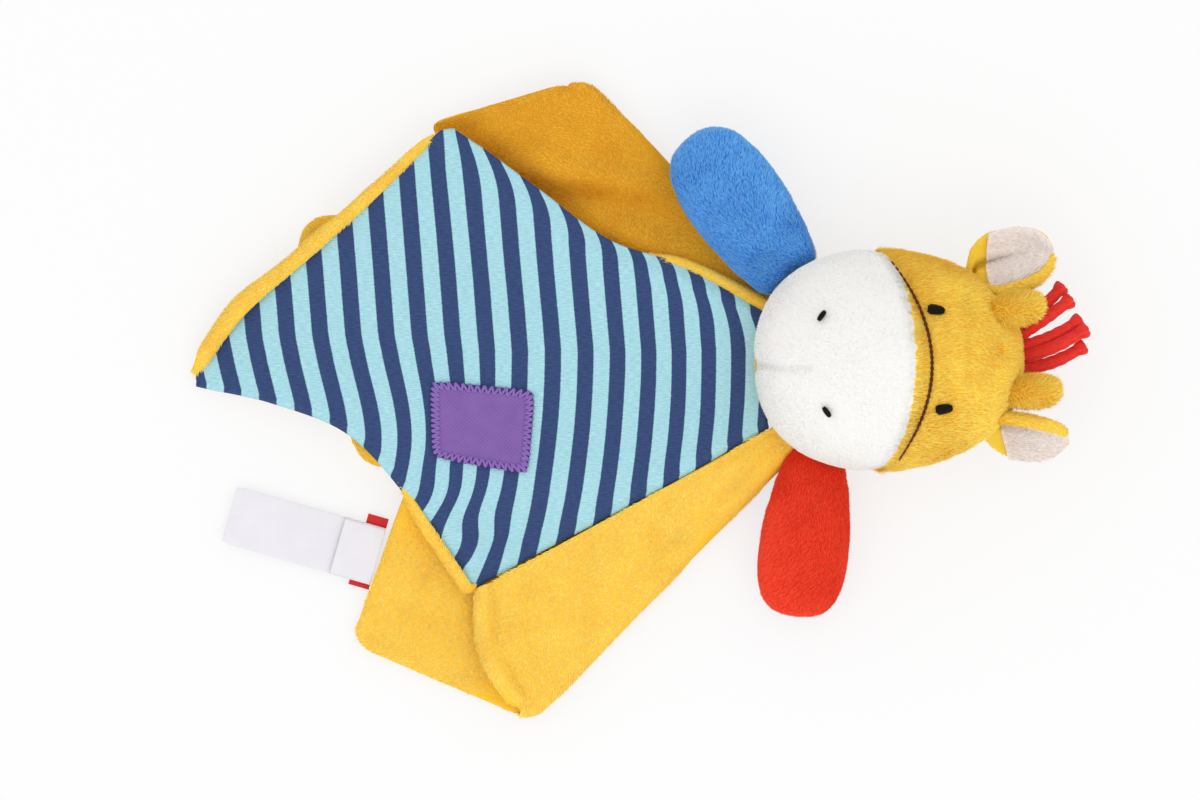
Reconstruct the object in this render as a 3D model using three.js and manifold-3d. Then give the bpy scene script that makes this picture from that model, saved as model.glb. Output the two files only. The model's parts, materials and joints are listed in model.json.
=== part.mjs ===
// Plush comforter toy lying face up: a stuffed animal head and two stuffed arms sewn to the
// middle of a folded, double-layer cloth body with sewn-in labels.
// Millimetres, +Z up, +X from the free corner of the cloth to the top of the head.
// The layout is measured from the neck seam, on the surface the toy lies on.
import * as THREE from "three";
import { mergeVertices } from "three/addons/utils/BufferGeometryUtils.js";
import Module from "manifold-3d";

const solids = await Module();
solids.setup();
const { Manifold, Mesh: SolidMesh } = solids;

// Cloth and seams
const FIT_GAP = 0.3; // between pieces that are sewn together
const PLUSH = 2.1; // plush fabric with its pile
const JERSEY = 1.0; // striped knitted fabric
const RIBBON = 0.5; // satin label fabric
const LAYER_GAP = 0.5; // between a cloth and its lining
const CLOTH = 2 * PLUSH + LAYER_GAP; // outer cloth and lining together
const FRONT = JERSEY + LAYER_GAP + PLUSH; // striped front and its lining together
const FOLD_SLACK = 1.5; // air between the two halves of a folded wing
const LAYER_SLACK = 1; // air under the front
const NECK_WIDTH = 40;

// Head
const HEAD_LENGTH = 91;
const HEAD_WIDTH = 75.5;
const HEAD_HEIGHT = 62;
const HEAD_FULLNESS = 0.8; // below 1 the ends are blunter than an ellipse
const HEAD_TAPER = 0.08; // chin end broader than the crown
const HEAD_FLAT = 0.5; // depth of the flattened underside
const HEAD_NOD = 45; // degrees, room for this is cut at the shoulders
const NOD_HEIGHT = 19; // hinge line under the chin, above the surface
const NOD_FORWARD = 2; // and past the neck seam, over the cloth
const HEAD_SIDE = 3.4; // the head lies this far to one side of the neck
const CHIN_OVERHANG = 3.6; // chin past the neck seam, over the cloth
const MUZZLE_TILT = 27; // degrees, the muzzle seam leans back to the crown
const MUZZLE_FORWARD = 6; // muzzle seam from the head's middle, at mid height
const CHEEK_SEAM_DROP = 4; // side seam below mid height

// Face stitching
const EYE_LENGTH = 5.4;
const EYE_WIDTH = 3.2;
const EYES = { right: [15.9, 17], left: [18.6, -16.7] }; // in the plan, from the head's middle
const NOSTRIL_LENGTH = 3.9;
const NOSTRIL_WIDTH = 1.9;
const NOSTRILS = { right: [-22.9, 15], left: [-21.2, -17.7] };
const MOUTH_THREAD = 0.9; // diameter
const MOUTH_ENDS = [33.7, -34]; // across the head
const MOUTH_FORWARD = 14.5; // middle of the mouth from the head's middle
const MOUTH_BOW = 0.0109; // its ends curve back to the chin by this, times the square of their distance
const MOUTH_MIDDLE = -2;
const STITCH_RISE = 0.7;

// Ears, horns and mane
const EAR_LENGTH = 28;
const EAR_WIDTH = 19.5;
const EAR_CUP = 4.5;
const EAR_FOLD = 20; // degrees each way, room for this is cut at the ear's base
const HORN_LENGTH = 23;
const HORN_WIDTH = 13;
const HORN_COVER = 1.8;
const STRAND = 3.3; // knitted cord diameter
const STRAND_LENGTH = 22;
const MANE_DROP = 3; // roots below the head's mid height
const MANE_DROOP = 3; // of a strand's free end
const MANE_SWING = [-25, 10]; // degrees, room for this is cut at the roots

// Arms
const BLUE_ARM = { length: 67.5, width: 36, height: 20 };
const RED_ARM = { length: 63, width: 32.5, height: 22 };
const ARM_FULLNESS = 0.7;
const ARM_TAPER = -0.15; // hand broader than the shoulder
const ARM_COVER = 2.1;
const SHOULDER_DEPTH = 8; // shoulder hinge from the inner end of the arm
const SHOULDER_RISE = 4.5; // shoulder hinge above the arm's middle
const BLUE_ARM_TURN = 126; // degrees from +X
const RED_ARM_TURN = -97;
const BLUE_SHOULDER = 8.5; // from the neck seam along the head
const RED_SHOULDER = 17;
const ARM_LIFT = 35; // degrees, room for this is cut at the shoulders

// Labels
const CARE_LABEL_WIDTH = 20;
const CARE_LABEL_LENGTH = 54;
const SHORT_LABEL_LENGTH = 15.6;
const LOOP_WIDTH = 25;
const LOOP_LENGTH = 8.5;
const LABEL_TURN = 164; // degrees from +X

// Sewn patch
const PATCH_LENGTH = 34;
const PATCH_WIDTH = 27;
const PATCH_THICKNESS = 0.7;
const PATCH_BORDER = 2.2;

// Heights of the middle of a double cloth
const ON_SURFACE = CLOTH / 2;
const ON_BACK = CLOTH + FIT_GAP + CLOTH / 2;
const FOLD_RISE = CLOTH + FOLD_SLACK;
const TIP_FOLD_X = -120; // the free corner folds up here
const TIP_FOLD_HEIGHT = 12;

const YELLOW = 0xf8c64f;
const WHITE = 0xf4f2ee;
const EAR_PINK = 0xe7d8d1;
const BLUE = 0x4285cc;
const RED = 0xda3522;
const MANE_RED = 0xe5271f;
const NAVY = 0x3b5581;
const PURPLE = 0x8161aa;
const LABEL_WHITE = 0xf0eef5;
const RIBBON_RED = 0xcd262a;
const THREAD_BLACK = 0x20140b;
const THREAD_BROWN = 0x502d0f;
const FILLING = 0xf2f0ea;

const toRadians = THREE.MathUtils.degToRad;
const lerp = THREE.MathUtils.lerp;
const smooth = (value) => THREE.MathUtils.smoothstep(value, 0, 1);

function mesh(name, geometry, color, roughness = 0.95) {
  const piece = new THREE.Mesh(geometry, new THREE.MeshStandardMaterial({ color, roughness }));
  piece.name = name;
  return piece;
}

// Joining and cutting of closed geometries
function solidOf(geometry) {
  const bare = new THREE.BufferGeometry();
  bare.setAttribute("position", geometry.attributes.position.clone());
  bare.setIndex(geometry.index ? geometry.index.clone() : null);
  const merged = mergeVertices(bare, 1e-3);
  return new Manifold(new SolidMesh({
    numProp: 3,
    vertProperties: new Float32Array(merged.attributes.position.array),
    triVerts: new Uint32Array(merged.index.array),
  }));
}

function geometryOf(solid) {
  const { vertProperties, triVerts } = solid.getMesh();
  const geometry = new THREE.BufferGeometry();
  geometry.setAttribute("position", new THREE.BufferAttribute(new Float32Array(vertProperties), 3));
  geometry.setIndex(new THREE.BufferAttribute(new Uint32Array(triVerts), 1));
  geometry.computeVertexNormals();
  return geometry;
}

const moved = (solid, matrix) => solid.transform(matrix.elements.slice());

// Everything on the far side of a plane, as a large block
function beyond(point, normal) {
  const turn = new THREE.Quaternion().setFromUnitVectors(new THREE.Vector3(0, 0, 1), normal);
  const block = new THREE.BoxGeometry(600, 600, 600).translate(0, 0, 300);
  return solidOf(block.applyQuaternion(turn).translate(point.x, point.y, point.z));
}

// A stuffed form: a ball drawn out along X, with blunt ends and a taper, grown by an offset
function formFullness(form, along) {
  return Math.sqrt(Math.max(0, 1 - along * along)) ** form.fullness * (1 - form.taper * along);
}

function formPoint(form, along, angle, grow = 0) {
  const full = formFullness(form, along);
  return new THREE.Vector3(
    (form.length / 2 + grow) * along,
    (form.width / 2 + grow) * full * Math.cos(angle),
    (form.height / 2 + grow) * full * Math.sin(angle),
  );
}

function stuffedForm(form, grow, around, rings) {
  const ball = new THREE.SphereGeometry(1, around, rings).rotateZ(-Math.PI / 2);
  const position = ball.attributes.position;
  for (let i = 0; i < position.count; i += 1) {
    const along = THREE.MathUtils.clamp(position.getX(i), -1, 1);
    const angle = Math.atan2(position.getZ(i), position.getY(i));
    const point = formPoint(form, along, angle, grow);
    position.setXYZ(i, point.x, point.y, point.z);
  }
  return ball;
}

// A closed sheet around a surface given by shares u and v, from one offset to another
function sheet(place, columns, rows, low, high) {
  const step = 1e-3;
  const vertices = [];
  const index = [];
  for (const offset of [low, high]) {
    for (let i = 0; i <= columns; i += 1) {
      for (let j = 0; j <= rows; j += 1) {
        const u = i / columns;
        const v = j / rows;
        const alongU = place(Math.min(u + step, 1), v).sub(place(Math.max(u - step, 0), v));
        const alongV = place(u, Math.min(v + step, 1)).sub(place(u, Math.max(v - step, 0)));
        const normal = alongU.cross(alongV).normalize();
        vertices.push(...place(u, v).addScaledVector(normal, offset).toArray());
      }
    }
  }
  const at = (layer, i, j) => layer * (columns + 1) * (rows + 1) + i * (rows + 1) + j;
  const quad = (a, b, c, d) => index.push(a, b, c, a, c, d);
  for (let i = 0; i < columns; i += 1) {
    for (let j = 0; j < rows; j += 1) {
      quad(at(1, i, j), at(1, i + 1, j), at(1, i + 1, j + 1), at(1, i, j + 1));
      quad(at(0, i, j), at(0, i, j + 1), at(0, i + 1, j + 1), at(0, i + 1, j));
    }
    quad(at(0, i, 0), at(0, i + 1, 0), at(1, i + 1, 0), at(1, i, 0));
    quad(at(0, i + 1, rows), at(0, i, rows), at(1, i, rows), at(1, i + 1, rows));
  }
  for (let j = 0; j < rows; j += 1) {
    quad(at(0, 0, j + 1), at(0, 0, j), at(1, 0, j), at(1, 0, j + 1));
    quad(at(0, columns, j), at(0, columns, j + 1), at(1, columns, j + 1), at(1, columns, j));
  }
  const geometry = new THREE.BufferGeometry();
  geometry.setAttribute("position", new THREE.Float32BufferAttribute(vertices, 3));
  geometry.setIndex(index);
  geometry.computeVertexNormals();
  return geometry;
}

// A curve in the plan through given points
const planCurve = (...points) =>
  new THREE.CatmullRomCurve3(points.map(([x, y]) => new THREE.Vector3(x, y, 0)), false, "centripetal");

// A point on an edge made of two curves that meet at a corner, reached at the corner's share
function alongEdge([first, second], share, corner) {
  return share <= corner
    ? first.getPoint(share / corner)
    : second.getPoint((share - corner) / (1 - corner));
}

// A round cord or thread along a curve
function cord(curve, diameter, steps, sides) {
  const round = new THREE.Shape(
    Array.from({ length: sides }, (_, i) => {
      const angle = (2 * Math.PI * i) / sides;
      return new THREE.Vector2(Math.cos(angle), Math.sin(angle)).multiplyScalar(diameter / 2);
    }),
  );
  return new THREE.ExtrudeGeometry(round, { steps, extrudePath: curve, bevelEnabled: false });
}

const toy = new THREE.Group();
toy.name = "plush_comforter";

// Head: three plush panels sewn round a filling
const headForm = {
  length: HEAD_LENGTH, width: HEAD_WIDTH, height: HEAD_HEIGHT,
  fullness: HEAD_FULLNESS, taper: HEAD_TAPER,
};
const head = new THREE.Group();
head.position.set(HEAD_LENGTH / 2 - CHIN_OVERHANG, HEAD_SIDE, HEAD_HEIGHT / 2 - HEAD_FLAT);
head.updateMatrixWorld();

// The head's place after it nods forward about the hinge line under the chin
function headNodded(angle) {
  const hinge = new THREE.Matrix4().makeTranslation(-NOD_FORWARD, 0, NOD_HEIGHT);
  return hinge.clone().multiply(new THREE.Matrix4().makeRotationY(toRadians(-angle)))
    .multiply(hinge.invert()).multiply(head.matrix);
}

const surfaceBlock = beyond(new THREE.Vector3(0, 0, -head.position.z), new THREE.Vector3(0, 0, 1));
const headOuter = solidOf(stuffedForm(headForm, 0, 20, 12)).intersect(surfaceBlock);
const headInner = solidOf(stuffedForm(headForm, -PLUSH, 20, 12)).intersect(
  beyond(new THREE.Vector3(0, 0, PLUSH - head.position.z), new THREE.Vector3(0, 0, 1)),
);
const headRoom = solidOf(stuffedForm(headForm, 2 * FIT_GAP, 20, 12));
const headSkin = headOuter.subtract(headInner);
const up = new THREE.Vector3(0, 0, 1);
const down = new THREE.Vector3(0, 0, -1);
const cheekSeam = (shift) => new THREE.Vector3(0, 0, shift - CHEEK_SEAM_DROP);
const seamBack = new THREE.Vector3(1, 0, 0).applyAxisAngle(
  new THREE.Vector3(0, 1, 0), toRadians(MUZZLE_TILT),
);
const muzzleSeam = (shift) =>
  new THREE.Vector3(-MUZZLE_FORWARD, 0, 0).addScaledVector(seamBack, shift);
const headTop = headSkin.intersect(beyond(cheekSeam(FIT_GAP / 2), up));
const muzzle = headTop.subtract(beyond(muzzleSeam(-FIT_GAP / 2), seamBack));
const face = headTop.intersect(beyond(muzzleSeam(FIT_GAP / 2), seamBack));
const headBack = headSkin.intersect(beyond(cheekSeam(-FIT_GAP / 2), down));
const headFilling = solidOf(stuffedForm(headForm, -PLUSH - FIT_GAP, 20, 12)).intersect(
  beyond(new THREE.Vector3(0, 0, PLUSH + FIT_GAP - head.position.z), up),
);
head.add(
  mesh("muzzle_panel", geometryOf(muzzle), WHITE),
  mesh("face_panel", geometryOf(face), YELLOW),
  mesh("head_back_panel", geometryOf(headBack), YELLOW),
  mesh("head_filling", geometryOf(headFilling), FILLING),
);

// A point over the upper side of the head, from its place in the plan
function overHead(x, y, rise) {
  const along = THREE.MathUtils.clamp(x / (HEAD_LENGTH / 2 + rise), -1, 1);
  const side = y / ((HEAD_WIDTH / 2 + rise) * formFullness(headForm, along));
  const angle = Math.acos(THREE.MathUtils.clamp(side, -1, 1));
  return formPoint(headForm, along, angle, rise);
}

// A small oval of satin stitching on the head
function stitchedOval(x, y, length, width, turn) {
  const place = (u, v) => {
    const a = 2 * u - 1;
    const b = 2 * v - 1;
    const oval = new THREE.Vector2(
      (length / 2) * a * Math.sqrt(1 - (b * b) / 2),
      (width / 2) * b * Math.sqrt(1 - (a * a) / 2),
    ).rotateAround(new THREE.Vector2(), toRadians(turn));
    return overHead(x + oval.x, y + oval.y, FIT_GAP);
  };
  return sheet(place, 4, 3, 0, STITCH_RISE);
}

for (const [side, sign] of [["right", 1], ["left", -1]]) {
  head.add(
    mesh(`${side}_eye`, stitchedOval(...EYES[side], EYE_LENGTH, EYE_WIDTH, -12 * sign), THREAD_BLACK, 0.6),
    mesh(`${side}_nostril`,
      stitchedOval(...NOSTRILS[side], NOSTRIL_LENGTH, NOSTRIL_WIDTH, 50 * sign), THREAD_BLACK, 0.6),
  );
}

// Mouth line: thread across the face behind the muzzle seam
const mouthPoints = Array.from({ length: 13 }, (_, i) => {
  const y = lerp(...MOUTH_ENDS, i / 12);
  const x = MOUTH_FORWARD - MOUTH_BOW * (y - MOUTH_MIDDLE) ** 2;
  return overHead(x, y, FIT_GAP + MOUTH_THREAD / 2);
});
head.add(mesh("mouth_stitch",
  cord(new THREE.CatmullRomCurve3(mouthPoints), MOUTH_THREAD, 20, 5), THREAD_BROWN, 0.7));

// Ears: a yellow back and a pink-grey inside, cupped, hinged along their base
function earPlace(u, v) {
  const across = 2 * v - 1;
  const leaf = Math.sqrt(1 - (1.5 * u - 0.55) ** 2 * 0.98) * (u < 0.97 ? 1 : 0.9);
  return new THREE.Vector3(
    EAR_LENGTH * u,
    (EAR_WIDTH / 2) * leaf * across,
    EAR_CUP * (across * across * leaf - 0.5) + 2 * u,
  );
}

const earSeats = {
  right: { along: 0.63, angle: 4, turn: 16, tilt: 0, sunk: 0 },
  left: { along: 0.75, angle: 184, turn: -5, tilt: 34, sunk: 2.2 },
};
for (const [side, seat] of Object.entries(earSeats)) {
  const ear = new THREE.Group();
  ear.position.copy(formPoint(headForm, seat.along, toRadians(seat.angle), 0.6 + EAR_CUP / 4 - seat.sunk));
  ear.rotation.z = toRadians(seat.turn);
  ear.updateMatrix();
  const headFromEar = ear.matrix.clone().invert();
  let room = moved(headRoom, headFromEar);
  for (const fold of [-EAR_FOLD, -EAR_FOLD / 2, EAR_FOLD / 2, EAR_FOLD]) {
    const turned = new THREE.Matrix4().makeRotationY(toRadians(fold)).multiply(headFromEar);
    room = room.add(moved(headRoom, turned));
  }
  const leaf = (low, high) =>
    solidOf(sheet(earPlace, 7, 4, low, high).rotateX(toRadians(seat.tilt))).subtract(room);
  const back = leaf(-PLUSH - FIT_GAP / 2, -FIT_GAP / 2);
  const inside = leaf(FIT_GAP / 2, PLUSH + FIT_GAP / 2);
  ear.add(
    mesh(`${side}_ear_back`, geometryOf(back), YELLOW),
    mesh(`${side}_ear_inside`, geometryOf(inside), EAR_PINK),
  );
  head.add(ear);
}

// Horns: small stuffed nubs in the crown seam
const hornForm = { length: HORN_LENGTH, width: HORN_WIDTH, height: HORN_WIDTH, fullness: 0.7, taper: -0.05 };
const hornSeats = { right: { along: 0.87, angle: 38, turn: 10 }, left: { along: 0.96, angle: 139, turn: 2 } };
for (const [side, seat] of Object.entries(hornSeats)) {
  const horn = new THREE.Group();
  horn.position.copy(formPoint(headForm, seat.along, toRadians(seat.angle), HORN_LENGTH / 5));
  horn.rotation.set(0, toRadians(-8), toRadians(seat.turn));
  horn.updateMatrix();
  const room = moved(headRoom, horn.matrix.clone().invert());
  const outer = solidOf(stuffedForm(hornForm, 0, 10, 6));
  const core = solidOf(stuffedForm(hornForm, -HORN_COVER, 10, 6));
  const filling = solidOf(stuffedForm(hornForm, -HORN_COVER - FIT_GAP, 10, 6));
  horn.add(
    mesh(`${side}_horn_cover`, geometryOf(outer.subtract(core).subtract(room)), YELLOW),
    mesh(`${side}_horn_filling`, geometryOf(filling.subtract(room)), FILLING),
  );
  head.add(horn);
}

// Mane: knitted cords sewn into the crown seam in two tufts, each swinging about its roots
const maneTufts = {
  upper: { first: { y: 13.4, turn: 40 }, second: { y: 8.7, turn: 38 } },
  lower: { first: { y: 4.2, turn: 30 }, second: { y: 0, turn: 28 }, third: { y: -4.2, turn: 23 } },
};

// The point of the crown at a distance from the middle line, at the height of the mane's roots
function crownPoint(y) {
  const reach = Math.hypot(y / (HEAD_WIDTH / 2), MANE_DROP / (HEAD_HEIGHT / 2)) / (1 - HEAD_TAPER);
  const along = Math.sqrt(1 - reach ** (2 / HEAD_FULLNESS));
  return new THREE.Vector3((HEAD_LENGTH / 2) * along, y, -MANE_DROP);
}

for (const [tuftName, strands] of Object.entries(maneTufts)) {
  const seats = Object.entries(strands);
  const tuft = new THREE.Group();
  tuft.position.copy(crownPoint((seats[0][1].y + seats.at(-1)[1].y) / 2));
  tuft.updateMatrix();
  const headFromTuft = tuft.matrix.clone().invert();
  let room = moved(headRoom, headFromTuft);
  for (const swing of MANE_SWING) {
    const turned = new THREE.Matrix4().makeRotationY(toRadians(swing)).multiply(headFromTuft);
    room = room.add(moved(headRoom, turned));
  }
  for (const [strandName, seat] of seats) {
    const root = crownPoint(seat.y).sub(tuft.position);
    const heading = new THREE.Vector3(Math.cos(toRadians(seat.turn)), Math.sin(toRadians(seat.turn)), 0);
    const path = new THREE.CatmullRomCurve3([-0.15, 0.4, 1].map((share) =>
      root.clone().addScaledVector(heading, STRAND_LENGTH * share).setZ(-MANE_DROOP * share * share)));
    const strand = solidOf(cord(path, STRAND, 6, 8)).subtract(room);
    tuft.add(mesh(`mane_${tuftName}_${strandName}`, geometryOf(strand), MANE_RED));
  }
  head.add(tuft);
}
toy.add(head);

// Arms: two plush panels round a filling, with room cut for the head as the arm lifts
const wingTop = ON_SURFACE + FOLD_RISE + CLOTH / 2;
const armSeats = {
  blue: { size: BLUE_ARM, x: BLUE_SHOULDER, side: 1, turn: BLUE_ARM_TURN, z: wingTop + 0.5, color: BLUE },
  red: { size: RED_ARM, x: RED_SHOULDER, side: -1, turn: RED_ARM_TURN, z: FIT_GAP, color: RED },
};
for (const [name, seat] of Object.entries(armSeats)) {
  const form = { ...seat.size, fullness: ARM_FULLNESS, taper: ARM_TAPER };
  const arm = new THREE.Group();
  const along = (seat.x - head.position.x) / (HEAD_LENGTH / 2);
  const cheek = (HEAD_WIDTH / 2) * formFullness(headForm, along);
  arm.position.set(
    seat.x, head.position.y + seat.side * (cheek - 0.5), seat.z + form.height / 2 + SHOULDER_RISE,
  );
  arm.rotation.z = toRadians(seat.turn);
  arm.updateMatrix();
  const middle = new THREE.Vector3(form.length / 2 - SHOULDER_DEPTH, 0, -SHOULDER_RISE);
  const place = new THREE.Matrix4().setPosition(middle);
  const filled = (grow) => moved(solidOf(stuffedForm(form, grow, 12, 8)), place);
  const headFromArm = arm.matrix.clone().invert().multiply(head.matrix);
  let room = moved(headRoom, headFromArm);
  for (let step = 0.25; step <= 1; step += 0.25) {
    const lifted = new THREE.Matrix4().makeRotationY(toRadians(ARM_LIFT * step));
    const nodded = arm.matrix.clone().invert().multiply(headNodded(HEAD_NOD * step));
    const both = lifted.clone().multiply(nodded);
    for (const turned of [lifted.multiply(headFromArm), nodded, both]) {
      room = room.add(moved(headRoom, turned));
    }
  }
  const skin = filled(0).subtract(filled(-ARM_COVER)).subtract(room);
  const sideSeam = (shift) => new THREE.Vector3(0, 0, shift - SHOULDER_RISE);
  arm.add(
    mesh(`${name}_arm_front`, geometryOf(skin.intersect(beyond(sideSeam(FIT_GAP / 2), up))), seat.color),
    mesh(`${name}_arm_back`, geometryOf(skin.intersect(beyond(sideSeam(-FIT_GAP / 2), down))), seat.color),
    mesh(`${name}_arm_filling`, geometryOf(filled(-ARM_COVER - FIT_GAP).subtract(room)), FILLING),
  );
  toy.add(arm);
}

// Cloth body. Each panel ends under the chin, trimmed to the head.
const headInPlan = moved(headRoom, head.matrix).add(moved(headRoom, headNodded(HEAD_NOD)));
const trimmed = (geometry) => geometryOf(solidOf(geometry).subtract(headInPlan));
const outerCloth = (place, columns, rows) => sheet(place, columns, rows, CLOTH / 2 - PLUSH, CLOTH / 2);
const innerCloth = (place, columns, rows) => sheet(place, columns, rows, -CLOTH / 2, PLUSH - CLOTH / 2);

// Back panel: flat on the surface, with the lining on top
const backLow = (x) => 2 - NECK_WIDTH / 2 + 0.134 * x;
const backHigh = (x) => NECK_WIDTH / 2 - 2 - 0.229 * x;
const backLowEdge = [planCurve([6, -17], [-130, -33.3]), planCurve([-130, -33.3], [-142, -23])];
const backHighEdge = [
  planCurve([6, 17], [-70, 34], [-146, 54]),
  planCurve([-146, 54], [-158, 50.5], [-164, 42]),
];
const backPlace = (u, v) =>
  alongEdge(backLowEdge, u, 0.8).lerp(alongEdge(backHighEdge, u, 0.8), v).setZ(ON_SURFACE);
toy.add(
  mesh("back_outer", trimmed(outerCloth(backPlace, 10, 5)), YELLOW),
  mesh("back_lining", trimmed(innerCloth(backPlace, 10, 5)), YELLOW),
);

// How high a cloth lies that rests on the back panel or beside it
const onStack = (inside) => lerp(ON_SURFACE + FIT_GAP, ON_BACK, smooth(inside / 24 + 1.3));
const lowerRest = (x, y) => onStack(y - backLow(x));
const upperRest = (x, y) => onStack(backHigh(x) - y);

const FLAT_SHARE = 5 / 14; // of a wing's cloth, each side of its fold

// Wings: a cloth from its seam out over a fold and back under itself to the inner edge
function wingPlace(wing, u, v) {
  const fold = wing.fold.getPoint(u);
  const outward = wing.fold.getTangent(u).cross(new THREE.Vector3(0, 0, wing.side));
  const radius = FOLD_RISE / 2;
  const point = new THREE.Vector3();
  if (v < FLAT_SHARE) {
    const share = v / FLAT_SHARE;
    point.copy(wing.seam.getPoint(u)).lerp(fold, share);
    return point.setZ(wing.rest(point.x, point.y) + wing.rise(share, u));
  }
  if (v > 1 - FLAT_SHARE) {
    point.copy(fold).lerp(wing.inner.getPoint(u), (v - 1 + FLAT_SHARE) / FLAT_SHARE);
    return point.setZ(wing.rest(point.x, point.y));
  }
  const turn = (Math.PI * (v - FLAT_SHARE)) / (1 - 2 * FLAT_SHARE);
  point.copy(fold).addScaledVector(outward, radius * Math.sin(turn));
  return point.setZ(wing.rest(fold.x, fold.y) + radius + radius * Math.cos(turn));
}

const HEM_START = [-103, 12];
const HEM_CORNER = [-141, -93];
const lowerWing = {
  side: -1, rest: lowerRest, rise: () => FOLD_RISE,
  seam: planCurve([1, -21.6], [-98, -75.6]),
  fold: planCurve([1.5, -22.5], [-27, -60], [-60, -94.5], [-83.7, -115.4]),
  inner: planCurve(HEM_START, HEM_CORNER),
};
const upperWing = {
  side: 1, rest: upperRest, rise: (share, u) => FOLD_RISE * smooth(share / 0.4 + Math.max(0, 1 - 3 * u)),
  seam: planCurve([-4, 18], [-60, 41], [-112, 81]),
  fold: planCurve([-2, 21], [-67.6, 94.5]),
  inner: planCurve([-5.5, 18.5], [-74, 72]),
};
const lowerPlace = (u, v) => wingPlace(lowerWing, u, v);
const upperPlace = (u, v) => wingPlace(upperWing, u, 1 - v);
toy.add(
  mesh("lower_wing_outer", trimmed(outerCloth(lowerPlace, 7, 14)), YELLOW),
  mesh("lower_wing_lining", trimmed(innerCloth(lowerPlace, 7, 14)), YELLOW),
  mesh("upper_wing_outer", trimmed(outerCloth(upperPlace, 7, 14)), YELLOW),
  mesh("upper_wing_lining", trimmed(innerCloth(upperPlace, 7, 14)), YELLOW),
);

// Front: striped cloth over a plush lining, lying on the wings and the back
const NECK_HIGH = [-2.7, 22.1];
const NECK_LOW = [-1, -21];
const CORNER_HIGH = [-107, 82.6];
const CORNER_LOW = [-98.6, -74.1];
const CORNER_SHARE = 11 / 13;
const insideOf = ([x0, y0], [x1, y1], x, y) =>
  ((x - x0) * (y1 - y0) - (y - y0) * (x1 - x0)) / Math.hypot(x1 - x0, y1 - y0);

function frontHeight(x, y) {
  const laid = (CLOTH + FRONT) / 2 + LAYER_SLACK;
  const low = (FOLD_RISE - laid) * smooth(1 - insideOf(NECK_LOW, CORNER_LOW, x, y) / 12);
  const high = 6 * smooth(1 + insideOf(NECK_HIGH, CORNER_HIGH, x, y) / 40);
  const height = lowerRest(x, y) + laid + low + high;
  return lerp(height, TIP_FOLD_HEIGHT, smooth((TIP_FOLD_X + 24 - x) / 24));
}

const tipHeight = (x) => {
  const share = (TIP_FOLD_X - x) / 76;
  return TIP_FOLD_HEIGHT - (TIP_FOLD_HEIGHT - FRONT / 2 - 2 * FIT_GAP) * share * share;
};
const foldEdge = TIP_FOLD_X + FIT_GAP / 2;
const tipEdge = TIP_FOLD_X - FIT_GAP / 2;
const frontLow = [planCurve([4, -18.3], CORNER_LOW), planCurve(CORNER_LOW, [-110.5, -59.5], [foldEdge, -45])];
const stripeHigh = [planCurve([4, 18.2], [-62.9, 48.3], CORNER_HIGH), planCurve(CORNER_HIGH, [foldEdge, 70.5])];
const liningHigh = [planCurve([4, 17.6], [-62.5, 47], [-111, 84.4]), planCurve([-111, 84.4], [foldEdge, 75.4])];
const tipLow = planCurve([tipEdge, -45], [-141, -22], [-156, -13.6], [-178.5, -8.5], [-193, -4]);
const tipStripeHigh = planCurve([tipEdge, 70.5], [-158.1, 33.3], [-194, -2.4]);
const tipLiningHigh = planCurve([tipEdge, 75.4], [-161.5, 36.7], [-197.5, 2]);

const frontPlace = (high) => (u, v) => {
  const point = alongEdge(high, u, CORNER_SHARE).lerp(alongEdge(frontLow, u, CORNER_SHARE), v);
  return point.setZ(frontHeight(point.x, point.y));
};
const tipPlace = (high) => (u, v) => {
  const point = high.getPoint(u).lerp(tipLow.getPoint(u), v);
  return point.setZ(tipHeight(point.x));
};
const stripedCloth = (place, columns, rows) =>
  sheet(place, columns, rows, FRONT / 2 - JERSEY, FRONT / 2);
const frontLining = (place, columns, rows) =>
  sheet(place, columns, rows, -FRONT / 2, PLUSH - FRONT / 2);
toy.add(
  mesh("front_panel", trimmed(stripedCloth(frontPlace(stripeHigh), 13, 10)), NAVY),
  mesh("front_lining", trimmed(frontLining(frontPlace(liningHigh), 13, 10)), YELLOW),
  mesh("front_tip", stripedCloth(tipPlace(tipStripeHigh), 8, 4), NAVY),
  mesh("front_tip_lining", frontLining(tipPlace(tipLiningHigh), 8, 4), YELLOW),
);

// Sewn patch with its raised border stitching
const PATCH_MIDDLE = new THREE.Vector2(-96.2, -19);
const PATCH_TURN = -7.5;
const patchPlace = (length, width) => (u, v) => {
  const plan = new THREE.Vector2((0.5 - u) * length, (0.5 - v) * width)
    .rotateAround(new THREE.Vector2(), toRadians(PATCH_TURN)).add(PATCH_MIDDLE);
  return new THREE.Vector3(plan.x, plan.y, frontHeight(plan.x, plan.y));
};
const patchLow = FRONT / 2 + 2 * FIT_GAP;
const patchTop = patchLow + PATCH_THICKNESS;
const borderLow = patchTop + FIT_GAP;
const border = solidOf(sheet(patchPlace(PATCH_LENGTH, PATCH_WIDTH), 4, 3, borderLow, borderLow + 0.5))
  .subtract(solidOf(sheet(
    patchPlace(PATCH_LENGTH - 2 * PATCH_BORDER, PATCH_WIDTH - 2 * PATCH_BORDER), 4, 3,
    borderLow - 1, borderLow + 2)));
toy.add(
  mesh("patch", sheet(patchPlace(PATCH_LENGTH, PATCH_WIDTH), 4, 3, patchLow, patchTop), PURPLE, 0.6),
  mesh("patch_stitching", geometryOf(border), PURPLE, 0.6),
);

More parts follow.
